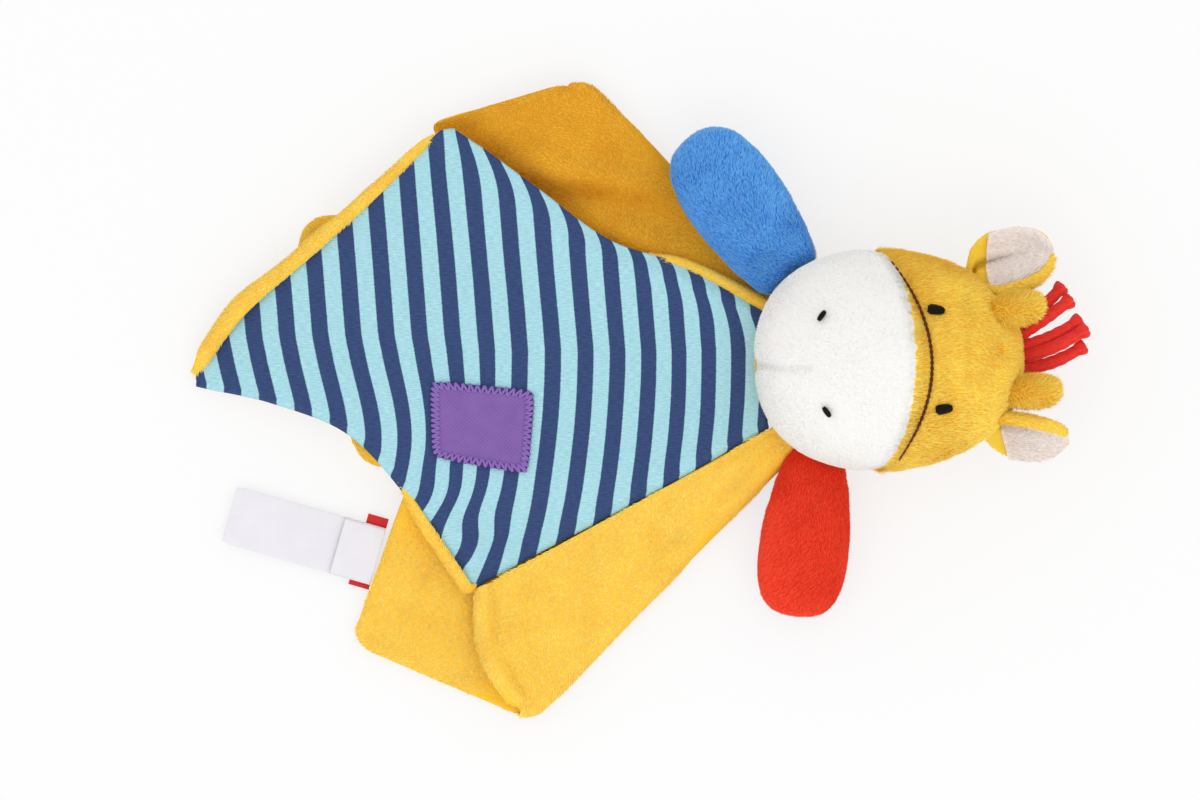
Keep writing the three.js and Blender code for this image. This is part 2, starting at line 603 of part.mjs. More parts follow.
// Labels sewn into the hem of the lower wing's under side
const labels = new THREE.Group();
const hem = lowerWing.inner.getPoint(0.71);
const labelTop = 2 * RIBBON + 2 * FIT_GAP;
labels.position.set(hem.x, hem.y, ON_SURFACE + labelTop);
labels.rotation.z = toRadians(LABEL_TURN);
const labelPlace = (length, width, depth) => (u, v) =>
  new THREE.Vector3(lerp(1.3, length, u), (v - 0.5) * width, -depth - 0.0002 * (length * u) ** 2);
const loopDepth = labelTop + 2 * RIBBON + FIT_GAP;
toy.add(labels);
labels.add(
  mesh("ribbon_loop", sheet(labelPlace(LOOP_LENGTH, LOOP_WIDTH, loopDepth), 2, 2, 0, 2 * RIBBON),
    RIBBON_RED, 0.5),
  mesh("care_label_long",
    sheet(labelPlace(CARE_LABEL_LENGTH, CARE_LABEL_WIDTH, labelTop), 6, 2, 0, RIBBON), LABEL_WHITE, 0.5),
  mesh("care_label_short",
    sheet(labelPlace(SHORT_LABEL_LENGTH, CARE_LABEL_WIDTH, labelTop - RIBBON - FIT_GAP), 4, 2, 0, RIBBON),
    LABEL_WHITE, 0.5),
);

// Move the whole toy so that its outline is centred and it stands on the surface
const bounds = new THREE.Box3().setFromObject(toy);
const centre = bounds.getCenter(new THREE.Vector3());
toy.position.set(-centre.x, -centre.y, -bounds.min.z);

export default toy;
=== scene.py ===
import json
import math

import bmesh
import bpy
import numpy as np
from mathutils import Matrix, Vector, noise


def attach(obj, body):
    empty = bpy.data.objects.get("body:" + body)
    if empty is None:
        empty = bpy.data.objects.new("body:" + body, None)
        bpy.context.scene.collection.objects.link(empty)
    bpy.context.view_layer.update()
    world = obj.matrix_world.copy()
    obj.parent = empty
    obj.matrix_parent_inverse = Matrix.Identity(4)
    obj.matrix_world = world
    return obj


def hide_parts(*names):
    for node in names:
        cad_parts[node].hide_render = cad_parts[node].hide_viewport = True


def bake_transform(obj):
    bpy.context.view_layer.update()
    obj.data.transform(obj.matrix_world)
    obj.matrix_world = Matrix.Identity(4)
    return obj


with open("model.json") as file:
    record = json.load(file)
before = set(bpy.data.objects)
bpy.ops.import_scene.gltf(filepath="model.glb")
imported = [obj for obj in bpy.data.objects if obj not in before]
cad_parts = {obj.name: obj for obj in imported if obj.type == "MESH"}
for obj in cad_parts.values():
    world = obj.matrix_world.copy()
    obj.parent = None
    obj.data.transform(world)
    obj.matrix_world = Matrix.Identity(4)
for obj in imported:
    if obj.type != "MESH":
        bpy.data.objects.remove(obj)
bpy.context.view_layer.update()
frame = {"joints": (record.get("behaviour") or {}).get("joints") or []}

# Stage: a white floor, soft light from the lower side of the photograph and the camera straight above.
# The toy is laid out in millimetres from its neck seam, which the head's hinge gives in the frame.
# The floor is seen nearly white and still takes the toy's shadow.
MM = 0.001
PHOTO_WIDTH = 408 * MM
PHOTO_LEVEL = 12 * MM
PHOTO_MIDDLE = Vector((-56.1, -10.2, 0)) * MM
CAMERA_HEIGHT = 12
LAMP_PLACE = (0.2, -0.95, 1.45)
LAMP_SIZE = 1.8
LAMP_POWER = 6
SKY_LIGHT = 0.95
FLOOR_SIZE = 4
FLOOR_WHITENESS = 0.72
PURE_WHITE = (1, 1, 1, 1)
HEAD_HINGE = Vector((-2, 3.4, 19))
scene = bpy.context.scene
joints = {joint["name"]: joint for joint in frame["joints"]}
NECK = Vector(joints["head_nod"]["pos_m"]) - HEAD_HINGE * MM


def feed(target, socket, value):
    """Sets a node's input to a plain value, an output, or another node's first output that is in use."""
    if isinstance(value, bpy.types.Node):
        value = next(output for output in value.outputs if output.enabled)
    if isinstance(value, bpy.types.NodeSocket):
        target.id_data.links.new(value, target.inputs[socket])
    else:
        target.inputs[socket].default_value = value


def node(tree, kind, inputs=(), **settings):
    """Adds a node with these settings and feeds its inputs, by name or number."""
    made = tree.nodes.new(kind)
    for name, value in settings.items():
        setattr(made, name, value)
    for socket, value in dict(inputs).items():
        feed(made, socket, value)
    return made


def worked_out(tree, operation, *values):
    """A product, a limit or another plain operation on these values."""
    return node(tree, "ShaderNodeMath", dict(enumerate(values)), operation=operation)


def placed(name, data):
    """A new object of the scene, at the origin."""
    made = bpy.data.objects.new(name, data)
    scene.collection.objects.link(made)
    return made


def shown(name, bm, *materials):
    """Turns a finished bmesh into an object at the origin, in these materials."""
    mesh = bpy.data.meshes.new(name)
    bm.to_mesh(mesh)
    bm.free()
    mesh.shade_smooth()
    for material in materials:
        mesh.materials.append(material)
    return placed(name, mesh)


def look(name, settings):
    """A material whose shader has these plain settings; returns it with its tree and shader."""
    made = bpy.data.materials.new(name)
    made.use_nodes = True
    shader = made.node_tree.nodes["Principled BSDF"]
    for socket, value in settings.items():
        feed(shader, socket, value)
    return made, made.node_tree, shader


scene.view_settings.view_transform = "Standard"
camera = placed("camera", bpy.data.cameras.new("camera"))
camera.location = NECK + PHOTO_MIDDLE + Vector((0, 0, CAMERA_HEIGHT))
camera.data.lens = camera.data.sensor_width * (CAMERA_HEIGHT - PHOTO_LEVEL) / PHOTO_WIDTH
scene.camera = camera

key = placed("key lamp", bpy.data.lights.new("key lamp", "AREA"))
key.data.energy = LAMP_POWER
key.data.size = LAMP_SIZE
key.location = LAMP_PLACE
key.rotation_euler = (-key.location).to_track_quat("-Z", "Y").to_euler()

world = bpy.data.worlds.new("studio")
world.use_nodes = True
feed(world.node_tree.nodes["Background"], "Color", PURE_WHITE)
feed(world.node_tree.nodes["Background"], "Strength", SKY_LIGHT)
scene.world = world

floor_look, tree, shader = look("floor", {"Base Color": (0.9, 0.9, 0.9, 1), "Roughness": 0.9})
rays = node(tree, "ShaderNodeLightPath").outputs
mirrored = worked_out(tree, "MAXIMUM", rays["Is Glossy Ray"], rays["Is Transmission Ray"])
seen = worked_out(tree, "MAXIMUM", rays["Is Camera Ray"], mirrored)
share = worked_out(tree, "MULTIPLY", seen, FLOOR_WHITENESS)
white = node(tree, "ShaderNodeEmission", {"Color": PURE_WHITE, "Strength": 1})
both = node(tree, "ShaderNodeMixShader", {0: share, 1: shader, 2: white})
feed(tree.nodes["Material Output"], "Surface", both)
floor_bm = bmesh.new()
bmesh.ops.create_grid(floor_bm, x_segments=1, y_segments=1, size=FLOOR_SIZE)
floor = shown("floor", floor_bm, floor_look)


# Back of the cloth body: a double plush cloth that lies on the floor under everything else.
# Each layer is a grid of fabric given its thickness, and the pile on its upper side is a piece of its own.
CLOTH = 4.7
FABRIC = 1.0
LAYER_GAP = 0.25
NEARBY = 0.01
TUFT_SHARE = 0.58
# How far the tufts' tips turn to the paler tip colour, as painted light on them.
PALE_TIP = 0.55
ROOTED = 0.9
CORNER = (0.055, 0.15)
BACK_CORNER = (0.13, 0.22)


def smooth(t):
    """Eases from 0 to 1."""
    t = min(max(t, 0.0), 1.0)
    return t * t * (3 - 2 * t)


def mix(a, b, t):
    return a + (b - a) * t


def edge_through(*points):
    """A smooth edge in the plan; gives the point at a share of its way through these points."""
    stops = [Vector(point) for point in points]
    stops = [2 * stops[0] - stops[1], *stops, 2 * stops[-1] - stops[-2]]
    last = len(points) - 2

    def at(share):
        span = min(max(int(share * (last + 1)), 0), last)
        t = share * (last + 1) - span
        a, b, c, d = stops[span:span + 4]
        return 0.5 * (2 * b + (c - a) * t + (2 * a - 5 * b + 4 * c - d) * t * t
                      + (3 * b - a - 3 * c + d) * t ** 3)

    return at


def uneven(nap, spot):
    """Pile that hands have brushed this way and that: turned a little, and flatter in places."""
    turn = Matrix.Rotation(1.1 * noise.noise(spot / 17), 3, "Z")
    return turn @ nap * (1 + 0.55 * noise.noise(spot / 8 + Vector((7, 0, 0))))


def laid_cloth(place, columns, rows, nap=(0.0, 1.0), pile=None, flip=False):
    """A grid of cloth. place(u, v) gives its points in millimetres from the neck seam, pile(u, v) says
    how thick the pile stands there, and nap, or nap(u, v), is the way it is brushed, along u and v."""
    bm = bmesh.new()
    bmesh.ops.create_grid(bm, x_segments=columns, y_segments=rows, size=0.5)
    nap_layer = bm.verts.layers.float_vector.new("nap")
    pile_layer = bm.verts.layers.float.new("pile")
    for vert in bm.verts:
        u, v = vert.co.x + 0.5, vert.co.y + 0.5
        here = Vector(place(u, v))
        way = nap(u, v) if callable(nap) else nap
        near = Vector(place(u + way[0] * NEARBY, v + way[1] * NEARBY))
        vert[nap_layer] = uneven((near - here).normalized(), here)
        vert[pile_layer] = pile(u, v) if pile else 0.0
        vert.co = NECK + here * MM
    if flip:
        bmesh.ops.reverse_faces(bm, faces=bm.faces[:])
    return bm


def srgb(red, green, blue):
    """A colour as a screen shows it, 0 to 255, in the shader's own linear values."""
    return [*(((c / 255 + 0.055) / 1.055) ** 2.4 for c in (red, green, blue)), 1]


def mottled(tree, scale, detail, place=None):
    """Soft unevenness over a piece, or over a map of its own."""
    if place is None:
        place = node(tree, "ShaderNodeTexCoord").outputs["Object"]
    return node(tree, "ShaderNodeTexNoise", {"Vector": place, "Scale": scale, "Detail": detail})


def dyed(tree, share, first, second):
    """From one colour to another."""
    return node(tree, "ShaderNodeMix", {0: share, 6: first, 7: second}, data_type="RGBA")


def relief(shader, height, strength, distance):
    """Lets the surface of a material stand up where the height does."""
    bump = {"Strength": strength, "Distance": distance, "Height": height}
    feed(shader, "Normal", node(shader.id_data, "ShaderNodeBump", bump))


def nap_tone():
    """The effect that all plush shares: brushed patches, tufts of different tones on a darker ground that is
    painted shade between the tufts, and paler tips that are painted light on them."""
    tree = bpy.data.node_groups.new("nap tone", "ShaderNodeTree")
    for name in ("Colour", "Shade", "Tip"):
        tree.interface.new_socket(name, in_out="INPUT", socket_type="NodeSocketColor")
    tree.interface.new_socket("Colour", in_out="OUTPUT", socket_type="NodeSocketColor")
    given = node(tree, "NodeGroupInput").outputs
    own = node(tree, "ShaderNodeAttribute", attribute_name="tuft_tone").outputs["Fac"]
    # Where a fabric has no tufts its tone falls low, and its ground takes the darker colour: painted shade
    # between the tufts.
    tone = node(tree, "ShaderNodeMix", {0: TUFT_SHARE, 2: mottled(tree, scale=70, detail=3), 3: own})
    spread = node(tree, "ShaderNodeMapRange", {0: tone, 1: 0.3, 2: 0.7})
    # Tips turn paler towards the tip colour: painted light on them.
    along = node(tree, "ShaderNodeAttribute", attribute_name="tuft_tip").outputs["Fac"]
    paler = worked_out(tree, "MULTIPLY", along, PALE_TIP)
    tipped = dyed(tree, paler, dyed(tree, spread, given["Shade"], given["Colour"]), given["Tip"])
    node(tree, "NodeGroupOutput", {"Colour": tipped})
    return tree


NAP_TONE = nap_tone()


def plush(name, colour, shade, tip, sheen=0.25):
    """A short brushed pile fabric."""
    made, tree, shader = look(name, {"Roughness": 0.85, "Specular IOR Level": 0.2, "Sheen Weight": sheen,
                                     "Sheen Roughness": 0.45, "Sheen Tint": srgb(*tip)})
    colours = {"Colour": srgb(*colour), "Shade": srgb(*shade), "Tip": srgb(*tip)}
    feed(shader, "Base Color", node(tree, "ShaderNodeGroup", colours, node_tree=NAP_TONE))
    relief(shader, mottled(tree, scale=900, detail=2), strength=0.5, distance=0.0006)
    return made


def scaled(tree, vector, by):
    return node(tree, "ShaderNodeVectorMath", {0: vector, 3: by}, operation="SCALE")


def pile_growth():
    """Grows a tuft, a thin flat cone leaning with the nap, on scattered points of a fabric. Where the
    share of pile is over 1 the tufts are that much longer."""
    tree = bpy.data.node_groups.new("pile growth", "GeometryNodeTree")
    tree.interface.new_socket("Fabric", in_out="INPUT", socket_type="NodeSocketGeometry")
    for name in ("Lift", "Density", "Length", "Width", "Lean", "Stray"):
        tree.interface.new_socket(name, in_out="INPUT", socket_type="NodeSocketFloat")
    tree.interface.new_socket("Pile", in_out="OUTPUT", socket_type="NodeSocketGeometry")
    given = node(tree, "NodeGroupInput").outputs
    lift = scaled(tree, node(tree, "GeometryNodeInputNormal"), given["Lift"])
    face = node(tree, "GeometryNodeSetPosition", {"Geometry": given["Fabric"], "Offset": lift})
    stands = node(tree, "GeometryNodeInputNamedAttribute", {"Name": "pile"}, data_type="FLOAT")
    density = worked_out(tree, "MULTIPLY", stands, given["Density"])
    points = node(tree, "GeometryNodeDistributePointsOnFaces", {"Mesh": face, "Density": density})
    upright = points.outputs["Normal"]
    brushed = node(tree, "GeometryNodeInputNamedAttribute", {"Name": "nap"}, data_type="FLOAT_VECTOR")
    flat = scaled(tree, brushed, given["Lean"])
    stray = node(tree, "FunctionNodeRandomValue", {0: (-1, -1, -1), 1: (1, 1, 1), 8: 3},
                 data_type="FLOAT_VECTOR")
    loose = scaled(tree, stray, given["Stray"])
    leaning = node(tree, "ShaderNodeVectorMath", {0: flat, 1: upright}, operation="ADD")
    way = node(tree, "ShaderNodeVectorMath", {0: leaning, 1: loose}, operation="ADD")
    aim = node(tree, "FunctionNodeAlignRotationToVector", {"Vector": way}, axis="Z")
    turn = node(tree, "FunctionNodeAlignRotationToVector", {"Rotation": aim, "Vector": upright}, axis="Y",
                pivot_axis="Z")
    size = node(tree, "FunctionNodeRandomValue", {2: 0.7, 3: 1.2, 8: 7}, data_type="FLOAT")
    longer = worked_out(tree, "MAXIMUM", stands, 1.0)
    blade = scaled(tree, node(tree, "ShaderNodeCombineXYZ", {0: 1.5, 1: 0.6, 2: longer}), size)
    cone = node(tree, "GeometryNodeMeshCone", {"Vertices": 3, "Radius Top": 0.0, "Depth": given["Length"],
                                               "Radius Bottom": given["Width"]}, fill_type="NGON")
    height = node(tree, "ShaderNodeSeparateXYZ", {0: node(tree, "GeometryNodeInputPosition")}).outputs["Z"]
    along = worked_out(tree, "DIVIDE", height, given["Length"])
    tuft = node(tree, "GeometryNodeStoreNamedAttribute",
                {"Geometry": cone, "Name": "tuft_tip", "Value": along}, data_type="FLOAT", domain="POINT")
    tufts = node(tree, "GeometryNodeInstanceOnPoints",
                 {"Points": points, "Instance": tuft, "Rotation": turn, "Scale": blade})
    shade = node(tree, "FunctionNodeRandomValue", {2: 0.0, 3: 1.0, 8: 11}, data_type="FLOAT")
    toned = node(tree, "GeometryNodeStoreNamedAttribute",
                 {"Geometry": tufts, "Name": "tuft_tone", "Value": shade}, data_type="FLOAT",
                 domain="INSTANCE")
    node(tree, "NodeGroupOutput", {"Pile": node(tree, "GeometryNodeRealizeInstances", {0: toned})})
    return tree


PILE_GROWTH = pile_growth()


def finished(piece):
    """A piece as its modifiers leave it."""
    return piece.evaluated_get(bpy.context.evaluated_depsgraph_get())


def grow(name, fabric, lift=FABRIC + LAYER_GAP, density=4.5, length=1.4, width=0.18, lean=2.5, stray=0.4):
    """Grows the pile of a fabric piece, in millimetres, as a mesh of its own with a cell of the map to
    each tuft."""
    holder = placed(name + "_holder", fabric.data)
    growth = holder.modifiers.new("pile", "NODES")
    growth.node_group = PILE_GROWTH
    values = {"Lift": lift * MM * ROOTED, "Density": density / MM ** 2, "Length": length * MM,
              "Width": width * MM, "Lean": lean, "Stray": stray}
    for item in PILE_GROWTH.interface.items_tree:
        if item.in_out == "INPUT" and item.name in values:
            growth[item.identifier] = values[item.name]
    mesh = bpy.data.meshes.new_from_object(finished(holder))
    bpy.data.objects.remove(holder)
    mesh.name = name
    corners = np.empty(len(mesh.loops), np.int32)
    mesh.loops.foreach_get("vertex_index", corners)
    spots = np.array(((0.5, 0.9), (0.1, 0.1), (0.9, 0.1), (0.5, 0.3)))
    tuft, corner = np.divmod(corners, len(spots))
    cells = math.ceil(math.sqrt(len(mesh.vertices) / len(spots)))
    spread = (np.stack((tuft % cells, tuft // cells), 1) + spots[corner]) / cells
    mesh.uv_layers.new(name="OFBake").data.foreach_set("uv", spread.astype(np.float32).ravel())
    mesh.materials.clear()
    mesh.materials.append(fabric.data.materials[0])
    return placed(name, mesh)


def thick(fabric, thickness=FABRIC, gap=LAYER_GAP):
    """Gives a laid fabric its thickness, on the side that its faces point to."""
    wall = fabric.modifiers.new("thickness", "SOLIDIFY")
    wall.thickness = thickness * MM
    wall.offset = 1 + 2 * gap / thickness
    return fabric


def stands_for(piece, nodes):
    """Hides the CAD nodes whose place a piece takes."""
    if nodes:
        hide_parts(*nodes)
    return piece


def fixed(piece, body, slot, *nodes):
    """Puts a piece on its body."""
    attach(piece, body)
    return stands_for(piece, nodes)


def bent(piece, held, moved, start, end, slot, *nodes):
    """Bakes a piece's place into its mesh, and hides the CAD nodes it stands for."""
    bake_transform(piece)
    return stands_for(piece, nodes)


YELLOW = plush("yellow plush", (255, 232, 98), (255, 203, 56), (255, 242, 156))
BACK_LOW = edge_through((2, -17), (-60, -25), (-118, -32), (-134, -32), (-142, -23))
BACK_HIGH = edge_through((2, 17), (-60, 31.5), (-120, 47.5), (-149, 52.6), (-162, 43))


def round_corner(u, share, corner=CORNER):
    """Draws a point near the cloth's far corner in, so that the corner is round."""
    along, across = corner
    near_u = (u - 1) / along + 1
    near_share = (share - 1) / across + 1
    if near_u <= 0 or near_share <= 0:
        return u, share
    drawn = max(near_u, near_share) / math.hypot(near_u, near_share)
    return 1 + (near_u * drawn - 1) * along, 1 + (near_share * drawn - 1) * across


def back_place(u, v):
    u, high = round_corner(u, 1 - v, BACK_CORNER)
    u, v = round_corner(u, 1 - high, BACK_CORNER)
    spot = BACK_HIGH(u).lerp(BACK_LOW(u), v)
    return spot.x, spot.y, CLOTH / 2


def back_pile(u, v):
    """Pile stands where the back looks out from under the front."""
    return smooth((u - 0.7) * 8) * smooth((abs(v - 0.5) - 0.15) * 8 + (u - 0.9) * 12)


back_outer = shown("back_outer_fabric", laid_cloth(back_place, 40, 12, flip=True), YELLOW)
bend_start, bend_end = (NECK + Vector((x, 3.4, 2)) * MM for x in (-16, 2))
neck_bend = ("blanket", "head", bend_start, bend_end, "yellow_plush")
bent(thick(back_outer, 1.7), *neck_bend, "back_outer")
back_lining = shown("back_lining_fabric", laid_cloth(back_place, 60, 24, (1, 0), back_pile), YELLOW)
bent(thick(back_lining), *neck_bend, "back_lining")
back_pile_piece = bent(grow("back_lining_pile", back_lining), *neck_bend)


# Wings: the cloth's two sides, each a double plush cloth folded under along its outer edge.
# The lower one joins the red arm's side and the upper one the blue arm's. Both start at the neck.
FOLD_RISE = 6.2
FLAT_SHARE = 0.5
TURN_SHARE = 0.62
TURNED_CORNER = (0.02, 0.05)
NECK_CORNER = (0.05, 0.12)
ON_FLOOR = 2.65
ON_BACK = 7.35
HEM_BOW = Vector((-5.5, -1.5, 2.4))


def on_stack(inside):
    """How high a layer lies: on the back cloth inside its edge, and on the floor outside it."""
    return mix(ON_FLOOR, ON_BACK, smooth(inside / 24 + 1.3))


def lower_rest(x, y):
    return on_stack(y - (-18 + 0.134 * x))


def upper_rest(x, y):
    return on_stack(18 - 0.229 * x - y)


def swell(x, y, size, seed):
    """Soft unevenness of laid cloth, from -1 to 1."""
    return noise.noise(Vector((x / size, y / size, seed)))


def outward_of(edge, u, side):
    """The way out over the edge of a cloth that lies on its left, or with -1 on its right."""
    run = edge(u + NEARBY) - edge(u - NEARBY)
    return Vector((run.y, -run.x)).normalized() * side


def folded_wing(seam, fold, inner, rest, rise, side, shape, short=0.0):
    """A wing's middle surface: from the front's seam out to the fold, round it and back underneath. The
    layer underneath may end a share short of the hem, and then the hem is round at both ends."""

    def place(u, v):
        if v < FLAT_SHARE:
            a, share = round_corner(u, v / FLAT_SHARE)
            if short:
                a, share = round_corner(a, 1 - share, NECK_CORNER)
                share = 1 - share
            spot = seam(a).lerp(fold(a), share)
            height = rest(*spot) + rise(share, a)
        elif v < TURN_SHARE:
            turn = (v - FLAT_SHARE) / (TURN_SHARE - FLAT_SHARE)
            corner = [mix(flat, under, turn) for flat, under in zip(CORNER, TURNED_CORNER)]
            a, share = round_corner(u, 1, corner)
            a *= 1 - short * turn
            spot = seam(a).lerp(inner(a), turn).lerp(fold(a), share)
            full = 1 - 0.85 * smooth((u - 0.93) / 0.07)
            spot += outward_of(fold, u, side) * (full * rise(1, a) / 2 * math.sin(math.pi * turn))
            height = rest(*fold(a)) + rise(1, a) / 2 * (1 + math.cos(math.pi * turn))
        else:
            a, share = round_corner(u, 1 - (v - TURN_SHARE) / (1 - TURN_SHARE), TURNED_CORNER)
            a, back = round_corner(a, 1 - share)
            a *= 1 - short
            spot = inner(a).lerp(fold(a), 1 - back)
            height = rest(*spot)
        return shape(u, v, Vector((spot.x, spot.y, height)))

    return place


def wing_pile(u, v):
    """Pile stands to just past the fold, and longest beside the front's seam."""
    return (1 + 0.2 * (1 - smooth(v * 18))) * (1.0 if v < TURN_SHARE + 0.04 else 0.0)


def lower_nap(u, v):
    """Brushed along the wing, out over the front's edge beside its seam, and along the hem."""
    seam = 1 - smooth(v * 14)
    hem = smooth((u - 0.93) * 20)
    return mix(mix(0.6, 0.3, seam), 0.15, hem), mix(mix(0.25, -0.3, seam), 0.5, hem)


def upper_nap(u, v):
    """Brushed along the wing, and along its hem."""
    hem = smooth((u - 0.93) * 20)
    return mix(0.8, 0.1, hem), mix(0.1, 0.7, hem)


def lower_shape(u, v, spot):
    """The hem bows outwards between its ends and stands up, and the plush on top lies in long waves with
    one hollow."""
    if v < FLAT_SHARE:
        share = v / FLAT_SHARE
        bow = math.sin(math.pi * min(share, 0.95)) * smooth((u - 0.75) * 4)
        rim = 1.7 * math.exp(-((u - 0.965) / 0.018) ** 2) - 1.8 * smooth((u - 0.975) * 40)
        spot += HEM_BOW * bow + Vector((0, 0, rim * smooth((0.97 - share) * 9)))
        fall = math.sin(math.pi * min(1, share * 1.1))
        waves = noise.noise(Vector(((spot.x + spot.y) / 50, (spot.x - spot.y) / 17, 2)))
        hollow = 2.2 * math.exp(-((spot.x + 32) ** 2 + (spot.y + 58) ** 2) / 60)
        spot.z += fall * (2.2 * waves + 0.8 * smooth(u * 3) - hollow) + 0.9 * (1 - smooth(share * 5))
    elif v > TURN_SHARE:
        spot.z += 0.5 * swell(spot.x, spot.y, 22, 5) * (v - TURN_SHARE)
    return spot


lower_place = folded_wing(
    edge_through((6, -17.9), (-98, -74.8)),
    edge_through((9, -24), (-27, -60.5), (-60, -94.5), (-83.2, -117.6)),
    edge_through((-103, 12), (-141, -93)),
    lower_rest, lambda share, u: FOLD_RISE, -1, lower_shape)


def lower_lining_pile(u, v):
    """Only the folded-under layer that looks out past the hem has its pile up."""
    return smooth((u - 0.5) * 5) * smooth((v - TURN_SHARE - 0.06) * 12)


def upper_shape(u, v, spot):
    """A soft fold runs in from the middle of the outer edge, with a hollow on the front's side of it."""
    if v < FLAT_SHARE:
        share = v / FLAT_SHARE
        fall = math.sin(math.pi * min(1, share * 1.05)) * smooth(u * 4)
        off = spot.y - 66.3 + 0.142 * (spot.x + 64.3)
        folds = 5.6 * math.exp(-(off / 4.2) ** 2) - 3 * math.exp(-((off + 11) / 6) ** 2)
        spot.z += fall * (folds * smooth((spot.x + 92) / 30) + 2 * swell(spot.x, spot.y, 18, 8))
    return spot


def upper_rise(share, u):
    """The upper wing lies flat at the front's seam and full at its fold, and full all over at the neck."""
    return FOLD_RISE * smooth(share / 0.4 + max(0.0, 1 - 3 * u))


upper_place = folded_wing(
    edge_through((-4, 18), (-60, 41), (-116, 83.2)),
    edge_through((-1, 22), (-33.5, 64.9), (-66, 98.2)),
    edge_through((-5.5, 18.5), (-74, 72)),
    upper_rest, upper_rise, 1, upper_shape, short=0.03)

# The upper wing takes the same yellow plush painted darker, as painted shade: that wing lies in shade, with
# its nap turned from the light.
SHADED_YELLOW = plush("yellow plush in painted shade", (246, 188, 46), (228, 158, 24), (252, 214, 88), sheen=0.15)
for wing, fabric, place, nap, lining_pile, flip, columns, rows, flat, area in (
        ("lower_wing", YELLOW, lower_place, lower_nap, lower_lining_pile, False, 90, 80,
         (0.175, 0.14), 0.0149),
        ("upper_wing", SHADED_YELLOW, upper_place, upper_nap, None, True, 84, 60,
         (0.079, 0.121), 0.0062)):
    for layer, colour, stands, turned in (("outer", fabric, wing_pile, flip),
                                          ("lining", YELLOW, lining_pile, not flip)):
        cloth = laid_cloth(place, columns, rows, nap, stands, turned)
        cloth = thick(shown(f"{wing}_{layer}_fabric", cloth, colour))
        fixed(cloth, "blanket", "yellow_plush", f"{wing}_{layer}")
        pile = []
        if stands:
            pile = [fixed(grow(f"{wing}_{layer}_pile", cloth), "blanket", "yellow_plush")]


# Front: the striped jersey of the cloth body over a plush lining, from the neck to its free corner.
# Both are one cloth each that bends at the corner's fold line. The lining rolls over the upper edge, and
# over the lower one beside the free corner.
FOLD_X = -120
FOLD_HEIGHT = 12
FRONT_HIGH = edge_through((1, 20), (-25.5, 34.7), (-52.7, 44.2), (-76.5, 61.2), (-99, 77.5), (-107.5, 82),
                          (-115, 76.6), (-135, 57), (-156, 38.2), (-177.5, 19.5), (-193.4, -1.5))
FRONT_LOW = edge_through((1, -19.5), (-24, -33.7), (-49, -47.2), (-74, -60.7), (-92, -70.4), (-99, -73.8),
                         (-104, -68), (-120.5, -44.5), (-141, -22), (-167, -11), (-193, -4))
STRIPE = 11.22
JERSEY_FABRIC = 1.0
LINING_FABRIC = 0.8
UNDER_FRONT = 0.4
TOP_SEAM = ((-2.7, 22.1), (-107, 82.6))
LOW_SEAM = ((-1, -21), (-98.6, -74.1))


def inside_of(start, end, x, y):
    """How far a point lies from the line of an edge."""
    run = Vector(end) - Vector(start)
    return ((x - start[0]) * run.y - (y - start[1]) * run.x) / run.length


def front_height(x, y):
    """The front's middle surface over the layers it lies on."""
    if x < FOLD_X:
        return FOLD_HEIGHT - 9.6 * ((FOLD_X - x) / 76) ** 2
    low = 1.05 * smooth(1 - inside_of(*LOW_SEAM, x, y) / 12)
    high = 6 * smooth(1 + inside_of(*TOP_SEAM, x, y) / 40)
    height = lower_rest(x, y) + 5.15 + low + high
    return mix(height, FOLD_HEIGHT, smooth((FOLD_X + 24 - x) / 24))


def front_swell(x, y):
    """The jersey lies in shallow waves, most near its lower corner."""
    corner = smooth(1 - Vector((x + 104, y + 62)).length / 34)
    return 0.9 * swell(x, y, 30, 1) + 1.9 * corner * math.sin((x + y) / 7)


def front_place(u, v):
    spot = FRONT_HIGH(u).lerp(FRONT_LOW(u), v)
    edge = smooth(v * 12) * smooth((1 - v) * 12)
    height = front_height(spot.x, spot.y) + front_swell(spot.x, spot.y) * edge
    turned = (1 - smooth(v * 11)) * (1 - smooth((u - 0.46) * 14))
    return spot.x, spot.y, height - 2.4 * turned - 0.8 * (1 - smooth((1 - v) * 20))


def stripe_at(x, y):
    """Where a point of the front falls across the stripes, in stripe widths."""
    t = (6.8 - y) / 34
    bend = smooth((t + 0.2) / 1.2) if t < 1 else math.sin(math.pi * t / 2)
    shift = (2.72 * t if t < 0 else -2.04 * t * t) + 8.2 * smooth((-82 - x) / 49) * bend
    from_edge = max(0, -inside_of(*TOP_SEAM, x, y))
    rolled_away = 5.5 * max(0, 1 - from_edge / 14) ** 2 * smooth((x + 112) / 20)
    rippled = 1.7 * smooth(1 - Vector((x + 106, y + 52)).length / 28) * math.sin((y - 0.3 * x) / 4)
    return (x - shift + rolled_away + rippled + 0.0011 * max(0, x + 69.7) ** 2 + 105.6) / STRIPE


def thread_rows(tree, place, way, inputs):
    """Rows of thread side by side, along one way of a map."""
    return node(tree, "ShaderNodeTexWave", {"Vector": place, **inputs}, bands_direction=way).outputs["Fac"]


